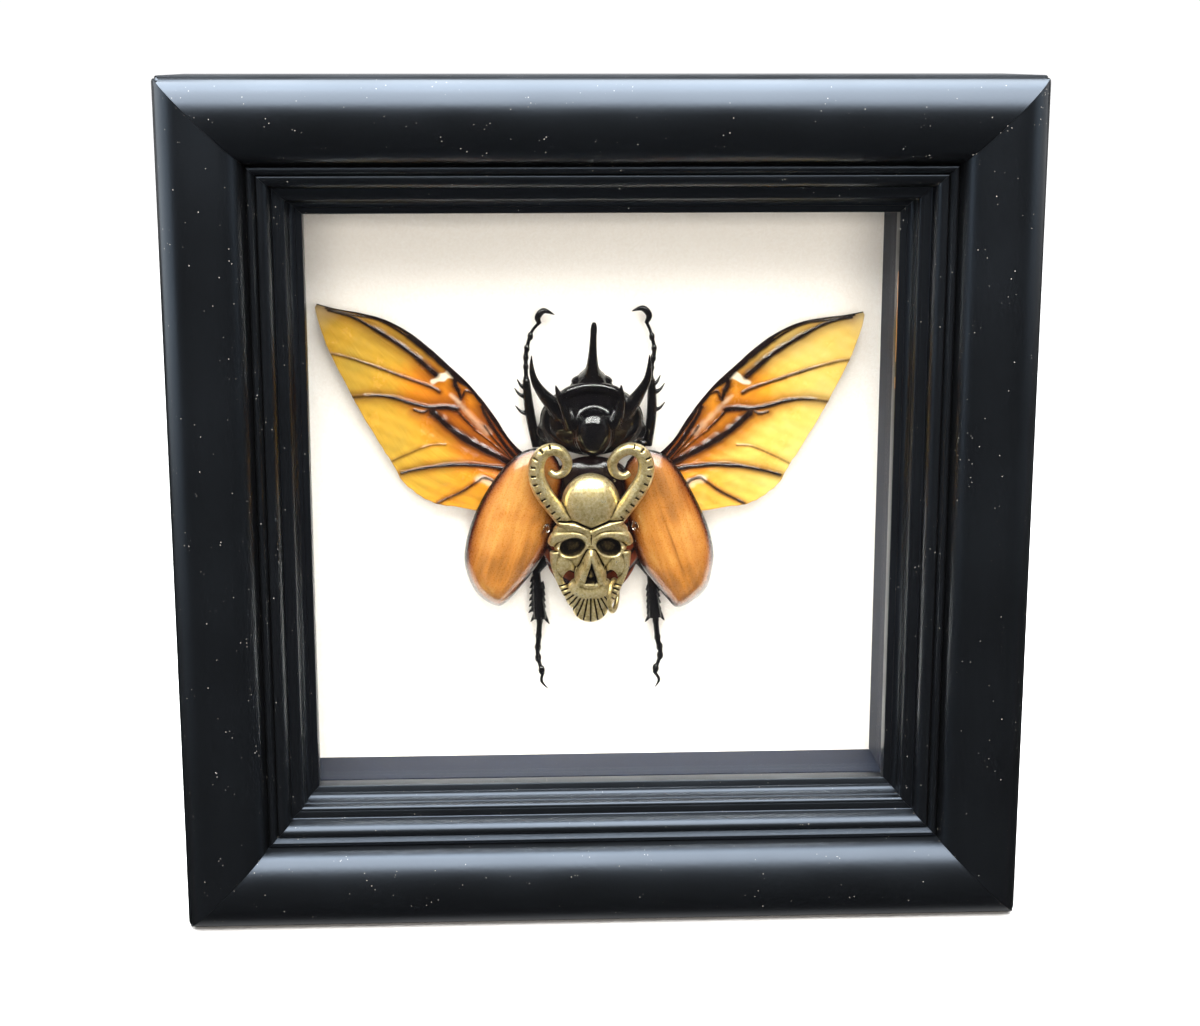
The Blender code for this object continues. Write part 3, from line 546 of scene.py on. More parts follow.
def wing_case(name, outline, spine, node, material):
    """A domed shell from a grid whose rows run from the hem to the spine."""
    around = 128
    rows = 26
    hem = smooth_path(outline + outline[:1], around + 1)[:-1]
    start, end = np.array(spine, dtype=float)
    run = end - start
    along = np.clip(((hem - start) @ run) / (run @ run), 0, 1)
    foot = start + along[:, None] * run
    outer, inner = [], []
    for row in np.sin(np.linspace(0, math.pi / 2, rows)):
        place = hem + (foot - hem) * row * 0.97
        rise = 1 - (1 - row) ** 2.6
        root = np.clip((place[:, 1] + 14.0) / 24.0, 0, 1)
        lift = case_height * rise * (1 - 0.62 * root)
        outer.append(np.column_stack([place, 8.0 + lift, np.full(around, row)]))
        tuck = 0.35 + 0.5 * min(row * 6, 1)
        inner.append(np.column_stack([place, 8.0 + lift - tuck, np.full(around, row)]))
    shell = bmesh.new()
    layer = shell.verts.layers.float.new("inward")
    loops = []
    for ring in inner[::-1] + outer:
        loops.append([])
        for right, up, height, row in ring:
            vert = shell.verts.new(spot(right, up, height))
            vert[layer] = row
            loops[-1].append(vert)
    for near, far in zip(loops, loops[1:]):
        for k in range(around):
            after = (k + 1) % around
            shell.faces.new((near[k], near[after], far[after], far[k]))
    shell.faces.new(loops[0])
    shell.faces.new(loops[-1])
    settle(put_form(name, shell), material, node, angle=60)


def caramel_shell(name, lean):
    """Polished caramel cuticle: long grain, fine freckles, a dark hem and a brown shade beside it."""
    material, shader, where, add = new_finish(name)
    turned = add("Mapping", Vector=where, Rotation=(0, math.radians(lean), 0))
    long_way = add("Mapping", Vector=turned, Scale=(1 / (1.4 * MM), 1 / (3.3 * MM), 1 / (16 * MM)))
    grain = add("TexNoise", Vector=long_way, Scale=1.0, Detail=5.0)
    broad = add("TexNoise", Vector=where, Scale=1 / (11 * MM), Detail=2.0)
    freckle = add("TexNoise", Vector=where, Scale=1 / (0.38 * MM), Detail=1.0)
    tone = add("Math", {"operation": "MULTIPLY_ADD"}, i0=grain, i1=0.6, i2=broad)
    tones = [(0.55, "#76491a"), (0.8, "#996226"), (1.0, "#a97738")]
    horn = add("ValToRGB", {"stops": tones}, Fac=tone)
    inward = add("Attribute", {"attribute_name": "inward"}).outputs["Fac"]
    hem_tones = [(0.05, "#0c0605"), (0.09, "#6b3618"), (0.2, "#e4ccb0"), (0.4, "#ffffff")]
    hem = add("ValToRGB", {"stops": hem_tones}, Fac=inward)
    colour = add("Mix", {"data_type": "RGBA", "blend_type": "MULTIPLY"}, Factor=1.0, i6=horn, i7=hem)
    rough = add("MapRange", Value=freckle, From_Min=0.3, From_Max=0.7, To_Min=0.24, To_Max=0.36)
    bump = add("Bump", Strength=0.08, Distance=0.0001, Height=grain)
    set_sockets(shader, Base_Color=colour.outputs[2], Roughness=rough, Normal=bump, Coat_Weight=1.0,
                Coat_Roughness=0.07)
    return material


wing_case("wing_case_left",
          [(-10.4, 8.2), (-12.8, 11.0), (-17.6, 11.2), (-22.0, 8.5), (-27.0, 2.5), (-31.2, -5.3),
           (-33.6, -13.8), (-33.2, -19.9), (-30.5, -25.4), (-26.1, -28.4), (-23.3, -27.4), (-19.0, -22.5),
           (-15.8, -18.2), (-12.8, -13.0), (-11.0, -7.0), (-9.7, 0.0), (-9.2, 4.4)],
          [(-16.6, 5.0), (-25.6, -20.5)], "elytron_left", caramel_shell("caramel_wing_case_left", -19))
wing_case("wing_case_right",
          [(6.8, 8.0), (9.4, 10.5), (13.6, 10.6), (17.7, 8.1), (22.3, 1.3), (26.6, -7.9), (28.3, -14.5),
           (28.1, -19.2), (26.3, -24.9), (20.0, -29.4), (16.5, -26.7), (13.2, -22.4), (10.4, -18.5),
           (8.0, -12.4), (6.8, -6.0), (6.0, 0.0), (5.6, 4.4)],
          [(12.0, 4.5), (20.8, -20.5)], "elytron_right", caramel_shell("caramel_wing_case_right", 19))

# Flying wings. Two glossy amber membranes drawn tight between raised dark veins,
# crinkled as they dried.


def amber_membrane(name, tones):
    """Dried wing membrane: tan gold, orange at the root, with red-brown halos round the dark ribs."""
    material, shader, where, add = new_finish(name)
    grid = add("Attribute", {"attribute_name": "grid"}).outputs["Vector"]
    root = add("Attribute", {"attribute_name": "root"}).outputs["Fac"]
    cloud = add("TexNoise", Vector=where, Scale=1 / (9.1 * MM), Detail=6.0, Roughness=0.65)
    tone = add("Math", {"operation": "MULTIPLY_ADD"}, i0=cloud, i1=0.5, i2=root)
    colour = add("ValToRGB", {"stops": list(zip((0.12, 0.3, 0.5, 1.0), tones))}, Fac=tone)
    for mark, stain in (("halo", "#4a1204"), ("pale", "#e6d6bc"), ("vein", "#0d0404")):
        mask = add("Attribute", {"attribute_name": mark}).outputs["Fac"]
        colour = add("Mix", {"data_type": "RGBA"}, Factor=mask, i6=colour,
                          i7=linear(stain)).outputs[2]
    pleat = add("Mapping", Vector=grid, Scale=(6.0, 26.0, 1.0))
    folds = add("TexNoise", Vector=pleat, Scale=1.0, Detail=4.0, Distortion=0.8)
    fine = add("TexNoise", Vector=where, Scale=1 / (1.1 * MM), Detail=3.0)
    height = add("Math", {"operation": "MULTIPLY_ADD"}, i0=fine, i1=0.2, i2=folds)
    bump = add("Bump", Strength=0.3, Distance=0.0006, Height=height)
    rough = add("MapRange", Value=cloud, From_Min=0.3, From_Max=0.7, To_Min=0.14, To_Max=0.32)
    set_sockets(shader, Base_Color=colour, Roughness=rough, Normal=bump, Coat_Weight=0.3, Coat_Roughness=0.06)
    return material


def nearest_on(points, path):
    """Each point's distance to a path and how far along it that is, 0 to 1."""
    best = np.full(len(points), 1e9)
    where = np.zeros(len(points))
    for k in range(len(path)):
        gap = np.hypot(points[:, 0] - path[k, 0], points[:, 1] - path[k, 1])
        closer = gap < best
        best[closer] = gap[closer]
        where[closer] = k / (len(path) - 1)
    return best, where


ribs = [
    ([(-19, 9.1), (-21.8, 13), (-25.6, 18), (-29.3, 23.8), (-33.1, 28.5), (-36.9, 31.8), (-42.1, 35.7),
      (-47.3, 39.5), (-53.8, 43.3), (-60.5, 44.7), (-66.4, 46.2)], 0.75, 0.2, 0.9, 1),
    ([(-34.4, 29.2), (-37.6, 32), (-42.1, 35.6), (-46.6, 39.1)], 1, 0.5, 1, 1),
    ([(-40.1, 29.8), (-42.3, 31.7), (-44.9, 34.1), (-48.1, 36.6), (-52, 39.2), (-56.6, 42.1),
      (-60.5, 44.1), (-65.8, 45.7)], 0.75, 0.28, 1.5, 1),
    ([(-39.3, 25.4), (-41.3, 26.6), (-45.2, 28.1), (-50.5, 30.1), (-55.8, 32.1), (-62.4, 34.2),
      (-66.9, 35.1)], 0.34, 0.14, 0.4, 0.85),
    ([(-35, 29.7), (-35.5, 27.7), (-34.7, 25.8), (-34.1, 23.8)], 0.85, 0.3, 0.9, 1),
    ([(-33.8, 24.2), (-32.9, 25.7), (-31.2, 25.2)], 0.3, 0.25, 0.6, 0.9),
    ([(-19.5, 6), (-22.1, 7.5), (-25.4, 9.3), (-30, 11.7), (-34.5, 14.5), (-37.7, 17.1),
      (-41.1, 20.5)], 0.7, 0.95, 1.5, 1),
    ([(-35.1, 21.1), (-37.8, 21.5), (-41.5, 21.5), (-46.2, 22.6), (-49.5, 23.7), (-52.8, 24.4),
      (-56.9, 24.5), (-61.1, 24.1)], 0.6, 0.18, 1.2, 1),
    ([(-41.6, 21.1), (-43.6, 20.4), (-45.6, 21)], 0.4, 0.2, 1.2, 0.9),
    ([(-35.4, 21.1), (-33, 18.3), (-30.9, 16.2)], 0.28, 0.18, 0.8, 0.9),
    ([(-20.1, 8.2), (-22.6, 11.1), (-25.4, 15.2), (-27.9, 19.4), (-28.9, 21.9)], 0.5, 0.4, 1.2, 1),
    ([(-21.1, 7.6), (-23.9, 11.1), (-26.8, 14.6), (-28.3, 16.9)], 0.3, 0.2, 1, 0.8),
    ([(-31.1, 16), (-28.5, 14.1), (-24.6, 10.8), (-21.4, 8)], 0.2, 0.2, 0.9, 0.7),
    ([(-51.6, 8), (-47.6, 9.9), (-42.1, 12.1), (-38, 12.3)], 0.12, 0.1, 0.3, 0.6),
    ([(-20.2, 5.3), (-22.9, 5.9), (-27.5, 6.7), (-32.9, 7.3), (-38.3, 7.2), (-43.7, 6.4),
      (-49.1, 5.1)], 0.5, 0.22, 0.6, 1),
    ([(-40.2, -2.5), (-34.7, 0.2), (-30.4, 3.1), (-28.8, 4), (-26.5, 3.2),
      (-25.3, 1.7)], 0.14, 0.24, 0.3, 0.9),
]
leading_edge = [(-13.6, 7.4), (-18.3, 9.8), (-22.2, 13.6), (-25.6, 19.0), (-29.2, 24.0), (-33.0, 28.4),
                (-37.6, 32.7), (-41.6, 36.4), (-46.6, 40.3), (-52.0, 43.2), (-57.4, 44.8), (-63.8, 46.0),
                (-68.6, 47.2)]
trailing_edge = [(-13.6, 4.6), (-20.0, -1.5), (-28.0, -4.6), (-36.2, -3.5), (-41.2, -2.6), (-45.3, -0.2),
                 (-48.7, 2.9), (-51.9, 8.7), (-55.1, 14.0), (-60.4, 23.7), (-65.8, 35.1), (-68.2, 41.8),
                 (-69.2, 46.2)]
pale_patches = [([(-40.8, 28.0), (-38.9, 29.0), (-36.6, 29.9)], 0.55, 1.15, 0.9),
                ([(-34.6, 22.6), (-31.6, 19.4), (-27.6, 15.2)], 0.4, 0.8, 0.25),
                ([(-30.0, 3.9), (-26.4, 2.4)], 0.8, 1.0, 0.4),
                ([(-36.6, 24.6), (-34.6, 22.8)], 0.3, 0.5, 0.4)]
band_places = [0.0, 0.15, 0.3, 0.4, 0.46, 0.52, 0.6, 0.68, 0.76, 0.84, 0.92, 1.0]
band_widths = [1.5, 1.3, 1.2, 1.3, 2.3, 2.0, 1.35, 0.95, 0.75, 0.5, 0.35, 0.2]


def flying_wing(name, mirrored, node, material):
    """A wing from a grid bent between its two edges, with its ribs raised on it and pleats between them."""
    def place_of(path):
        line = np.array(path, dtype=float)
        if mirrored:
            line[:, 1] -= 2.5 * ((line[:, 0] - axis) / 66) ** 2
            line[:, 0] = 2 * axis - line[:, 0]
        return line

    bpy.ops.mesh.primitive_grid_add(x_subdivisions=300, y_subdivisions=135, size=2.0)
    wing = bpy.context.object
    wing.name = name
    flat = np.empty(len(wing.data.vertices) * 3, dtype=np.float32)
    wing.data.vertices.foreach_get("co", flat)
    reach, share = ((flat.reshape(-1, 3).astype(float) + 1) / 2)[:, :2].T
    fine = 600
    front = smooth_path(place_of(leading_edge), fine)
    back = smooth_path(place_of(trailing_edge), fine)
    column = reach * (fine - 1)
    low_column = np.minimum(column.astype(int), fine - 2)
    part = (column - low_column)[:, None]
    front = front[low_column] * (1 - part) + front[low_column + 1] * part
    back = back[low_column] * (1 - part) + back[low_column + 1] * part
    ragged = 0.22 * np.sin(reach * 95) * np.sin(reach * 37 + 1)
    ragged = ragged * edge(share, 0.93, 0.12) * edge(reach, 0.25, 0.2)
    place = front + (back - front) * (share * (1 - 0.02 * ragged))[:, None]
    inset = share * np.hypot(*(back - front).T)
    band = np.interp(reach, band_places, band_widths)
    band = band * (1 + 0.12 * np.sin(reach * 61))
    vein = np.clip((1.0 - inset / band) * 3.0, 0, 1)
    halo = np.exp(-(inset / (band * 1.9)) ** 2)
    for path, start_width, end_width, glow, darkness in ribs:
        gap, where = nearest_on(place, smooth_path(place_of(path), 200))
        width = start_width + (end_width - start_width) * where
        width = 1.3 * width * (1 + 0.18 * np.sin(where * 23) * np.sin(where * 9 + 2))
        vein = np.maximum(vein, darkness * np.clip(1.35 - gap / width, 0, 1))
        stained = width + glow * (1.2 + 0.7 * edge(0.55, reach, 0.2))
        halo = np.maximum(halo, np.exp(-(gap / stained) ** 2) * min(darkness, 0.95))
    heart = np.array(place_of([(-43.0, 26.0), (-18.0, 7.0)]))
    run = heart[1] - heart[0]
    along = np.clip(((place - heart[0]) @ run) / (run @ run), 0, 1)
    warm = np.exp(-(np.hypot(*(place - heart[0] - along[:, None] * run).T) / 6.5) ** 2)
    near_root = np.clip(1 - reach * 1.7, 0, 1)
    spread = np.hypot(place[:, 0] - place_of([(-52.0, 22.0)])[0, 0], place[:, 1] - 22.0)
    crinkle = (0.7 * np.sin(np.minimum(reach * 1.6, 1) * math.pi) * np.cos(3.0 * math.pi * share)
               + 0.12 * np.sin(place[:, 0] * 0.9 + 1.3 * place[:, 1]) * np.sin(place[:, 1] * 0.7)
               + 0.05 * np.sin(place[:, 0] * 1.3 - 1.1 * place[:, 1] + 2 * np.sin(spread * 0.5)))
    height = 6.3 + crinkle - 1.2 * reach * share + 0.5 * vein
    move_points(wing, np.column_stack([place, height]))
    set_attribute(wing, "vein", vein)
    set_attribute(wing, "halo", np.clip(halo * (1 - 0.35 * reach), 0, 1))
    set_attribute(wing, "root", near_root * 0.25 + 0.36 * warm)
    pale = np.zeros(len(place))
    for path, start_width, end_width, strength in pale_patches:
        gap, where = nearest_on(place, smooth_path(place_of(path), 60))
        width = start_width + (end_width - start_width) * where
        width = width * (1 + 0.25 * np.sin(place[:, 0] * 1.9 + place[:, 1] * 1.3))
        pale = np.maximum(pale, strength * edge(width, gap, 1.2 - 0.9 * strength))
    set_attribute(wing, "pale", pale + 0.35 * edge(reach, 0.94, 0.12) * (1 - pale))
    layer = wing.data.attributes.new("grid", "FLOAT_VECTOR", "POINT")
    layer.data.foreach_set("vector", np.column_stack([reach, share, reach * 0]).astype(np.float32).ravel())
    apply_modifier(wing, "SOLIDIFY", thickness=0.14 * MM, offset=-1.0)
    settle(wing, material, node)


flying_wing("flying_wing_left", False, "hindwing_left",
            amber_membrane("amber_wing_membrane_left", ("#a48836", "#bb902e", "#cc7e1a", "#a84c0c")))
flying_wing("flying_wing_right", True, "hindwing_right",
            amber_membrane("amber_wing_membrane_right", ("#d2bc72", "#d9b256", "#dc9428", "#b0520c")))

# Legs. Three pairs of jointed black legs, glued along the board: thigh, toothed
# shin, a foot of small beads and a hooked claw.

low = 2.9


def leg(node, sections, teeth=(), hook=0.0, foot=(), bead=0.0):
    """A leg from its strands, its slanting teeth by root and tip, and five beads along its foot."""
    parts = [strand(path, count) for path, count in sections]
    for right, up, tip_right, tip_up in teeth:
        bend = ((right + 1.6 * tip_right) / 2.6, (up + 1.6 * tip_up) / 2.6 - hook, low, 0.45)
        parts.append(strand([(right, up, low, 0.95), bend, (tip_right, tip_up, low, 0.12)], 12, 3))
    for right, up in smooth_path([station[:2] for station in foot], 11)[1::2] if foot else ():
        parts.append(ball((right, up, low), (bead, bead * 1.5, bead), segments=16))
    settle(fused("jointed_" + node, parts, 0.12, 3), cuticle, node)


left_foot = [(-18.0, 27.0, low, 0.55), (-18.1, 31.4, low, 0.55), (-17.9, 35.1, low, 0.55),
             (-16.6, 39.6, low, 0.4), (-14.6, 42.0, low, 0.45)]
leg("fore_leg_left",
    [([(-9.0, 13.4, 2.6, 1.3), (-12.6, 12.0, 2.6, 1.5), (-15.2, 11.4, low, 1.2)], 20),
     ([(-15.5, 11.0, low, 1.2), (-16.8, 17.4, low, 1.25), (-17.6, 22.6, low, 1.2),
       (-18.0, 27.8, low, 0.9)], 30),
     (left_foot, 30),
     ([(-14.6, 41.6, low, 0.5), (-15.1, 43.2, low, 0.8), (-13.6, 44.8, low, 0.75),
       (-10.9, 43.8, low, 0.1)], 24)],
    [(-17.6, 25.6, -20.3, 28.0), (-17.4, 23.4, -21.0, 25.8), (-16.8, 19.2, -20.8, 21.4)],
    0.8, left_foot[:4], 0.74)
right_foot = [(12.8, 27.0, low, 0.55), (13.0, 31.0, low, 0.55), (13.6, 35.0, low, 0.55),
              (12.8, 39.2, low, 0.4), (11.6, 42.0, low, 0.45)]
leg("fore_leg_right",
    [([(5.0, 13.4, 2.6, 1.3), (8.8, 12.0, 2.6, 1.5), (11.6, 11.4, low, 1.2)], 20),
     ([(12.0, 11.0, low, 1.2), (12.9, 17.4, low, 1.25), (13.1, 22.6, low, 1.2), (12.9, 27.8, low, 0.9)], 30),
     (right_foot, 30),
     ([(11.6, 41.6, low, 0.5), (12.3, 43.6, low, 0.8), (10.7, 45.3, low, 0.75), (8.0, 44.6, low, 0.1)], 24)],
    [(12.8, 26.2, 15.2, 28.8), (12.8, 24.2, 16.3, 26.8), (12.4, 19.8, 16.4, 22.0)],
    0.8, right_foot[:4], 0.74)
for side, mirror in (("left", 1), ("right", -1)):
    tucked = [[(-9.0, 0.0, 2.6, 1.3), (-15.0, -4.0, 2.6, 1.4), (-19.0, -7.4, low, 1.0)],
              [(-18.9, -7.0, low, 0.9), (-19.6, -14.0, low, 0.9), (-19.4, -19.0, low, 0.6)],
              [(-19.4, -18.4, low, 0.6), (-20.6, -21.0, low, 0.4), (-22.4, -23.0, low, 0.3)]]
    placed = [[(axis + mirror * (right - axis), up, height, radius) for right, up, height, radius in path]
              for path in tucked]
    leg("mid_leg_" + side, [(path, 20) for path in placed])
left_foot = [(-15.0, -32.6, low, 0.75), (-15.4, -38.4, low, 0.7), (-15.6, -43.1, low, 0.55),
             (-14.3, -48.0, low, 0.46)]
leg("hind_leg_left",
    [([(-8.6, -10.0, 2.6, 1.3), (-12.0, -15.6, 2.6, 1.5), (-15.8, -20.6, low, 1.2)], 20),
     ([(-15.9, -20.0, low, 1.0), (-15.6, -26.0, low, 1.25), (-15.0, -33.2, low, 1.75)], 24),
     (left_foot, 30),
     ([(-14.3, -47.6, low, 0.4), (-14.7, -49.8, low, 0.4), (-12.9, -52.0, low, 0.1)], 12)],
    [(-15.8, -31.8, -17.4, -34.2), (-14.4, -31.8, -12.6, -34.8)]
    + [(-16.0, -22.0 - 1.6 * k, -17.5 - 0.08 * k, -23.8 - 1.6 * k) for k in range(6)]
    + [(-14.8, -24.0 - 1.6 * k, -13.7 + 0.08 * k, -25.6 - 1.6 * k) for k in range(5)],
    0.0, left_foot, 0.86)
right_foot = [(14.2, -32.6, low, 0.75), (14.9, -39.1, low, 0.7), (15.6, -42.8, low, 0.55),
              (14.0, -48.0, low, 0.46)]
leg("hind_leg_right",
    [([(4.6, -10.0, 2.6, 1.3), (8.6, -16.0, 2.6, 1.5), (12.8, -21.6, low, 1.2)], 20),
     ([(12.9, -21.0, low, 1.0), (13.6, -27.0, low, 1.25), (14.2, -33.2, low, 1.75)], 24),
     (right_foot, 30),
     ([(14.0, -47.6, low, 0.4), (15.3, -49.8, low, 0.4), (14.1, -52.0, low, 0.1)], 12)],
    [(13.6, -31.8, 11.6, -34.6), (15.0, -31.8, 16.6, -34.2)]
    + [(14.0, -23.0 - 1.6 * k, 15.2 + 0.16 * k, -24.8 - 1.6 * k) for k in range(6)]
    + [(13.0, -24.6 - 1.6 * k, 11.8 + 0.08 * k, -26.2 - 1.6 * k) for k in range(5)],
    0.0, right_foot, 0.86)

# Skull charm. One small casting, a horned skull with curled ram horns, tumbled and
# plated antique bronze: bright on the high parts, black-brown in the hollows.


def antique_bronze():
    """Plated bronze, darkened then rubbed back: the patina stays where it is hollow."""
    material, shader, where, add = new_finish("antique_bronze_cast_rubbed")
    hollow = add("Attribute", {"attribute_name": "hollow"}).outputs["Fac"]
    pit = add("TexNoise", Vector=where, Scale=1 / (0.67 * MM), Detail=4.0, Roughness=0.7)
    blotch = add("TexNoise", Vector=where, Scale=1 / (3.3 * MM), Detail=3.0)
    stain = add("Math", {"operation": "MULTIPLY_ADD"}, i0=pit, i1=0.7, i2=hollow)
    spread = add("Math", {"operation": "MULTIPLY_ADD"}, i0=blotch, i1=0.25, i2=stain)
    tones = [(0.32, "#efe3bc"), (0.54, "#bfab74"), (0.77, "#5f5032"), (1.0, "#17110b")]
    colour = add("ValToRGB", {"stops": tones}, Fac=spread)
    rough = add("MapRange", Value=spread, From_Min=0.3, From_Max=1.0, To_Min=0.25, To_Max=0.5)
    bump = add("Bump", Strength=0.1, Distance=0.0001, Height=pit)
    set_sockets(shader, Base_Color=colour, Roughness=rough, Normal=bump, Metallic=0.9)
    return material


def hollows(piece, rounds):
    """How far each vertex lies below its softened surroundings, in millimetres."""
    points = mesh_points(piece)
    mesh = piece.data
    ends = np.empty(len(mesh.edges) * 2, dtype=np.int32)
    mesh.edges.foreach_get("vertices", ends)
    near, far = ends.reshape(-1, 2).T
    count = np.bincount(near, minlength=len(points)) + np.bincount(far, minlength=len(points))
    soft = points.copy()
    for _ in range(rounds):
        total = np.zeros_like(soft)
        for k in range(3):
            total[:, k] = (np.bincount(near, weights=soft[far, k], minlength=len(points))
                           + np.bincount(far, weights=soft[near, k], minlength=len(points)))
        soft = total / count[:, None]
    normals = np.empty(len(points) * 3, dtype=np.float32)
    mesh.vertices.foreach_get("normal", normals)
    normals = normals.reshape(-1, 3)[:, [0, 2, 1]] * (1, 1, -1)
    return ((soft - points) * normals).sum(axis=1)


bronze = antique_bronze()
face = -2.6
brow = [(8.3, -9.0, 12.3, 1.5), (6.3, -7.3, 13.0, 1.9), (3.7, -6.9, 13.5, 1.9), (1.6, -7.7, 13.6, 1.7)]
brow_ridge = [(9.8, -11.8, 12.0, 1.0), (8.3, -9.7, 12.8, 1.6), (5.1, -9.0, 13.4, 1.7), (2.3, -9.5, 13.6, 1.6)]
jaw = [(8.8, -13.6, 12.4, 1.3), (8.7, -17.2, 12.2, 1.1), (7.6, -21.0, 12.0, 0.9), (5.8, -24.6, 11.9, 1.1)]
skull_parts = [ball((face + aside, up, height), radii) for aside, up, height, radii in (
    (0.1, -1.6, 12.3, (7.2, 7.6, 4.3)), (0, -12.4, 12.2, (9.0, 5.6, 2.3)),
    (-6.4, -16.6, 12.0, (2.8, 3.6, 1.9)), (6.4, -16.6, 12.0, (2.8, 3.6, 1.9)),
    (0, -24.6, 12.0, (6.4, 5.2, 2.7)), (0, -28.0, 11.8, (4.5, 3.9, 2.2)), (0, -19.8, 12.6, (4.0, 4.6, 2.6)))]
skull_parts += [
    strand([(face, -12.6, 13.4, 1.1), (face, -15.4, 13.6, 1.6), (face, -19.5, 13.2, 2.6)], 30),
    strand(arch(face, brow, (-9.1, 13.5, 1.5)), 70), strand(arch(face, brow_ridge, (-11.0, 13.4, 1.5)), 70)]
skull_parts += [strand([(face + sign * out, *rest) for out, *rest in jaw], 20) for sign in (-1, 1)]
horn_paths = [
    [(-7.4, -7.4, 12.8, 2.2), (-9.5, -4.8, 13.3, 2.2), (-11.9, -1.8, 13.7, 2.15), (-14.3, 1.7, 13.9, 2.25),
     (-15.7, 5.2, 14.1, 2.1), (-15.8, 8.4, 14.1, 2.0), (-14.5, 11.2, 14.3, 1.75), (-12.1, 12.4, 14.3, 1.6),
     (-9.7, 11.5, 14.2, 1.45), (-8.3, 9.1, 14.0, 1.3), (-9.0, 6.7, 13.8, 1.1), (-11.1, 5.8, 13.6, 0.95),
     (-12.6, 6.8, 13.4, 0.8)],
    [(2.1, -7.4, 12.8, 2.2), (3.9, -4.8, 13.3, 2.2), (6.3, -1.8, 13.7, 2.15), (8.7, 1.7, 13.9, 2.25),
     (10.6, 5.2, 14.1, 2.1), (11.0, 8.4, 14.1, 2.0), (9.8, 11.2, 14.3, 1.75), (7.2, 12.4, 14.3, 1.6),
     (4.5, 11.4, 14.2, 1.45), (2.7, 8.9, 14.0, 1.3), (3.3, 6.4, 13.8, 1.1), (5.4, 5.4, 13.6, 0.95),
     (7.0, 6.3, 13.4, 0.8)]]
charm = fused("horned_skull_charm", skull_parts + [strand(path, 90) for path in horn_paths], 0.16, 3)
for sign in (-1, 1):
    hole = ball((face + sign * 5.5, -20.0, 12.5), (1.2, 1.9, 6.0), sign * -18, 20)
    apply_modifier(charm, "BOOLEAN", operation="DIFFERENCE", object=hole, solver="EXACT")
    bpy.data.objects.remove(hole)


def segment_gap(points, start, end):
    """Each point's distance to a straight line between two others."""
    start, end = np.array(start), np.array(end)
    run = end - start
    along = np.clip(((points[:, :2] - start) @ run) / (run @ run), 0, 1)
    return np.hypot(*(points[:, :2] - start - along[:, None] * run).T)


def socket_oval(points, sign, wide, tall):
    """How far each point is from an eye socket's middle, 1 on the oval, and how far above it."""
    aside = (points[:, 0] - face - sign * 4.5) * sign
    above = points[:, 1] + 12.1 + 0.16 * aside
    return np.hypot(aside / wide, above / tall), above


def brow_gap(points):
    """Each point's distance to the seam under the brow."""
    seam = [(-10.4, -5.6), (-6.4, -5.7), (face + 0.1, -7.5), (1.8, -5.7), (5.2, -5.4)]
    return np.minimum.reduce([segment_gap(points, a, b) for a, b in zip(seam, seam[1:])])


def in_nose(points, foot):
    """1 inside the nose's opening, a tall triangle that ends at foot, 0 outside."""
    down = (nose_top[1] - points[:, 1]) / 8.0
    beside = edge(np.abs(points[:, 0] - face - 0.2) / 2.4, down - 0.26, 0.12)
    return np.minimum(edge(down, 0.3, 0.1) * (down < foot), 1 - beside)


# the hollows of the casting: two sockets, the nose and the seam under the brow
nose_top, nose_left, nose_right = (face + 0.1, -14.0), (face - 3.3, -21.6), (face + 3.6, -21.6)
points = mesh_points(charm)
right, up, height = points.T
for sign in (-1, 1):
    oval, above = socket_oval(points, sign, 3.15, 2.45)
    height -= 2.0 * (1 - edge(oval, 0.86, 0.36)) * (height > 11)
    height += 0.3 * np.exp(-((oval - 1.14) / 0.12) ** 2) * (height > 12) * (above < 0)
height -= 0.7 * np.exp(-(brow_gap(points) / 0.35) ** 2) * (height > 13)
rim = np.minimum(segment_gap(points, nose_top, nose_left), segment_gap(points, nose_top, nose_right))
front = height > 13
height += 0.7 * np.exp(-(rim / 0.75) ** 2) * front
height -= 0.7 * np.exp(-((rim - 1.5) / 0.3) ** 2) * front * (up > -20.2) * (up < -12.6)
height -= 0.5 * np.exp(-((right - face - 0.1) / 0.18) ** 2) * front * (np.abs(up + 10.2) < 1.3)
height -= 1.7 * in_nose(points, 0.94) * front
drop = np.hypot((right - face) / 0.6, (up + 19.2) / 1.0)
height += 0.8 * (1 - edge(drop, 0.9, 0.5)) * front
move_points(charm, points)
charm = fused("horned_skull_charm", [charm], 0.13, 2)

# the cast detail: teeth round the jaw, notches along the horns
points = mesh_points(charm)
right, up, height = points.T
spread = np.arctan2(right - face, -20.5 - up)
reach = np.hypot(right - face, up + 20.5)
tooth_step = math.radians(9.5)
tooth = np.abs((spread / tooth_step) - np.round(spread / tooth_step)) * tooth_step * reach
gum = 4.6 + 1.3 * np.abs(spread)
in_jaw = edge(reach, gum, 0.4) * (np.abs(spread) < 1.42) * (up < -21.5) * (height > 11.2)
groove = np.exp(-(tooth / 0.2) ** 2) * in_jaw
height -= 0.4 * groove
for path in horn_paths:
    line = smooth_path(path, 300)
    length = np.concatenate([[0], np.cumsum(np.hypot(*np.diff(line[:, :2], axis=0).T))])
    gap, where = nearest_on(points, line)
    index = np.clip((where * 299).astype(int), 0, 299)
    walked = length[index]
    off = np.abs(walked / 2.0 - np.round(walked / 2.0)) * 2.0
    side = (right - line[index, 0]) * np.sign(line[0, 0] - face)
    outer_face = (side + 0.5 * (up - line[index, 1]) > 0.05) & (gap < 1.4) & (gap > 0.2)
    cut = np.exp(-(off / 0.24) ** 2) * outer_face * (height > 13) * (walked > 2.5) * (walked < 24)
    height -= 0.4 * cut
    groove = np.maximum(groove, cut)
move_points(charm, points)
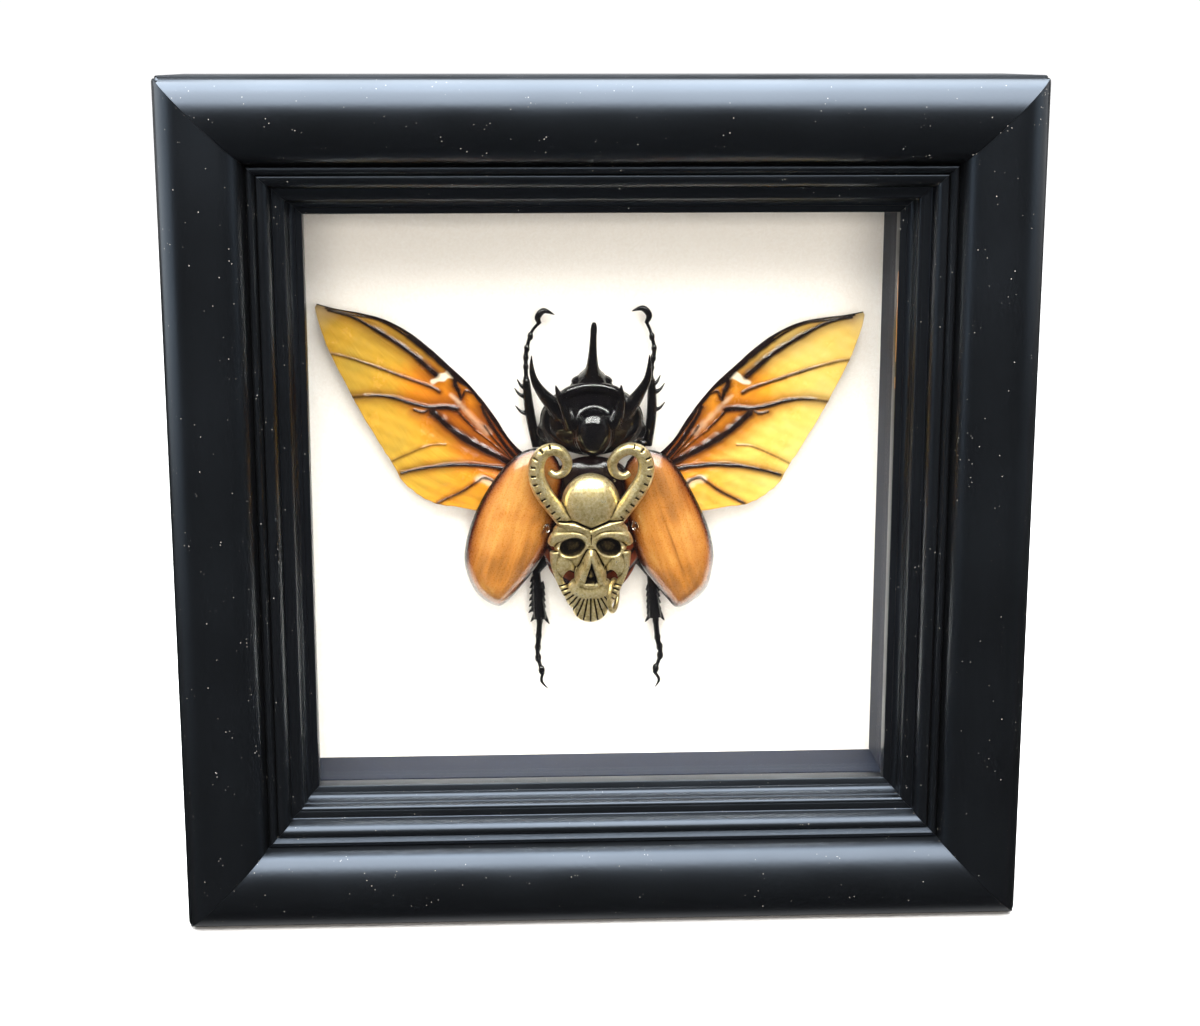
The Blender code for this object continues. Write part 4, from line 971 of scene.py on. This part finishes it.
for sign in (-1, 1):
    oval = socket_oval(points, sign, 3.0, 2.3)[0]
    groove = np.maximum(groove, 0.8 * (1 - edge(oval, 0.9, 0.3)) + 0.7 * np.exp(-((oval - 0.95) / 0.12) ** 2))
groove = np.maximum(groove, 1.2 * np.exp(-(brow_gap(points) / 0.3) ** 2) * (height > 13))
groove = np.maximum(groove, 1.3 * in_nose(points, 0.9))
hollow = np.clip(hollows(charm, 8) * 4.0, 0, 0.6) + np.clip(hollows(charm, 60) * 0.9, -0.2, 0.7)
depth = np.clip((13.2 - height) / 3, 0, 1) * 0.35
set_attribute(charm, "hollow", np.clip(hollow + depth + groove * 0.35, 0, 1))
apply_modifier(charm, "DECIMATE", ratio=0.5)
settle(charm, bronze, "skull_charm")

# Ring. A small closed ring of the same bronze wire through the cheek hole.

bpy.ops.mesh.primitive_torus_add(major_segments=72, minor_segments=16, major_radius=3.9 * MM,
                                 minor_radius=0.58 * MM, location=spot(3.1, -25.0, 12.4))
ring = bpy.context.object
ring.name = "cheek_ring"
ring.rotation_euler = (math.radians(90), 0, math.radians(72))
place_in_mesh(ring)
apply_modifier(ring, "SMOOTH", factor=0.3, iterations=1)
set_attribute(ring, "hollow", np.full(len(ring.data.vertices), 0.1))
settle(ring, bronze, "charm_ring")

# Glue. Two dabs of clear glue that squeezed out beside the brow and set.


def set_glue():
    """Set glue: clear, a little yellow, with a wavy skin."""
    material, shader, where, add = new_finish("clear_set_glue")
    wave = add("TexNoise", Vector=where, Scale=1 / (0.83 * MM), Detail=2.0)
    bump = add("Bump", Strength=0.4, Distance=0.0002, Height=wave)
    set_sockets(shader, Base_Color=linear("#fbf6ea"), Normal=bump, Roughness=0.06, Transmission_Weight=1.0,
                IOR=1.48)
    return material


glue = set_glue()
for side, right, up, sign in (("left", -13.4, -7.8, -1), ("right", 8.4, -7.4, 1)):
    blobs = [ball((right, up, 12.3), (0.9, 1.1, 0.6), segments=16),
             strand([(right, up, 12.3, 0.5), (right + sign * 0.9, up - 1.2, 12.0, 0.3),
                     (right + sign * 1.2, up - 2.2, 11.8, 0.12)], 10, 3),
             strand([(right, up, 12.3, 0.4), (right - sign * 0.6, up + 1.4, 12.3, 0.2)], 8, 3)]
    dab = fused("set_glue_" + side, blobs, 0.1, 3)
    settle(dab, glue, "glue_dab_" + side)

# Stage. A white sweep, soft lights above and in front, and the camera.


def plain_white():
    """Painted paper: matte white, very faintly clouded."""
    material, shader, where, add = new_finish("plain_white_sweep")
    cloud = add("TexNoise", Vector=where, Scale=3.0)
    colour = add("ValToRGB", {"stops": [(0.3, "#f6f6f6"), (0.7, "#fafafa")]}, Fac=cloud)
    set_sockets(shader, Base_Color=colour, Roughness=0.9)
    return material


bpy.ops.mesh.primitive_plane_add(size=1.0, location=(0, 0.6, underside))
sweep = bpy.context.object
sweep.name = "white_sweep"
sweep.scale = (24.0, 24.0, 1.0)
place_in_mesh(sweep)
sweep.data.materials.append(plain_white())
sweep.visible_glossy = False
sweep.visible_transmission = False


def soft_light(name, azimuth, elevation, distance, width, height, brightness, colour):
    """A softbox aimed at the frame: direction in degrees, distance and size in metres, brightness."""
    light = bpy.data.lights.new(name, "AREA")
    light.shape = "RECTANGLE"
    light.size = width
    light.size_y = height
    light.energy = brightness * math.pi * width * height
    light.color = linear(colour)[:3]
    turn, lift = math.radians(azimuth), math.radians(elevation)
    toward = Vector((math.sin(turn) * math.cos(lift), -math.cos(turn) * math.cos(lift), math.sin(lift)))
    lamp = put(name, light)
    lamp.location = Vector((0, 0, middle_up)) + toward * distance
    lamp.rotation_euler = (-toward).to_track_quat("-Z", "Y").to_euler()
    return lamp


soft_light("high_front_window", -6.0, 58.0, 1.2, 1.9, 1.0, 11.0, "#fffdfa")
front_fill = soft_light("front_fill", 3.0, 7.0, 1.2, 1.3, 0.4, 9.0, "#fff6ec")
front_fill.visible_glossy = False
front_fill.visible_transmission = False
soft_light("overhead_softbox", 0.0, 98.0, 0.9, 0.9, 0.6, 7.5, "#e6f1f8")
soft_light("left_wall", -98.0, 14.0, 1.2, 1.2, 1.0, 1.8, "#e6f1f8")
soft_light("right_wall", 84.0, 16.0, 1.4, 0.7, 0.8, 1.6, "#e6f1f8")
sky = bpy.data.lights.new("high_diffuser", "SUN")
sky.energy = 3.6
sky.angle = math.radians(50)
put("high_diffuser", sky).rotation_euler.x = math.radians(-10)

world = bpy.data.worlds.new("studio_walls")
bpy.context.scene.world = world
world.use_nodes = True
split = add_node(world, "SeparateXYZ", Vector=add_node(world, "TexCoord").outputs["Generated"])
upward = add_node(world, "MapRange", Value=split.outputs[2], From_Min=-1.0)
bands = [(place, (shade, shade, shade, 1.0)) for place, shade in (
    (0.12, 0.4), (0.25, 0.02), (0.46, 0.02), (0.475, 1.05), (0.55, 1.05), (0.64, 0.15), (1.0, 0.15))]
walls = add_node(world, "ValToRGB", {"stops": bands}, Fac=upward)
behind = add_node(world, "MapRange", Value=split.outputs[1], From_Max=0.25)
room = add_node(world, "Mix", {"data_type": "RGBA"}, i0=behind, i6=(0.05, 0.05, 0.055, 1.0), i7=walls)
camera_ray = add_node(world, "LightPath").outputs["Is Camera Ray"]
bright = (1.05, 1.05, 1.05, 1.0)
seen = add_node(world, "Mix", {"data_type": "RGBA"}, i0=camera_ray, i6=room.outputs[2], i7=bright)
set_sockets(world.node_tree.nodes["Background"], i0=seen.outputs[2])

view_azimuth = 0.047
view_elevation = 0.217
lens_per_width = 2076.48 / 1200
sensor = 36.0
camera_data = bpy.data.cameras.new("camera")
camera_data.sensor_fit = "HORIZONTAL"
camera_data.sensor_width = sensor
camera_data.lens = lens_per_width * sensor
camera_data.clip_start = 0.01
camera = put("camera", camera_data)
sine, cosine = math.sin(view_azimuth), math.cos(view_azimuth)
lift = math.sin(view_elevation)
right = Vector((cosine, -sine, 0))
up = Vector((sine * lift, cosine * lift, math.cos(view_elevation)))
camera.rotation_euler = Matrix((right, up, right.cross(up))).transposed().to_euler()
eye = (-0.02368, -0.47015, 0.10599)
camera.location = (eye[0], crest + eye[1], middle_up + eye[2])
bpy.context.scene.camera = camera
bpy.context.scene.view_settings.view_transform = "Standard"
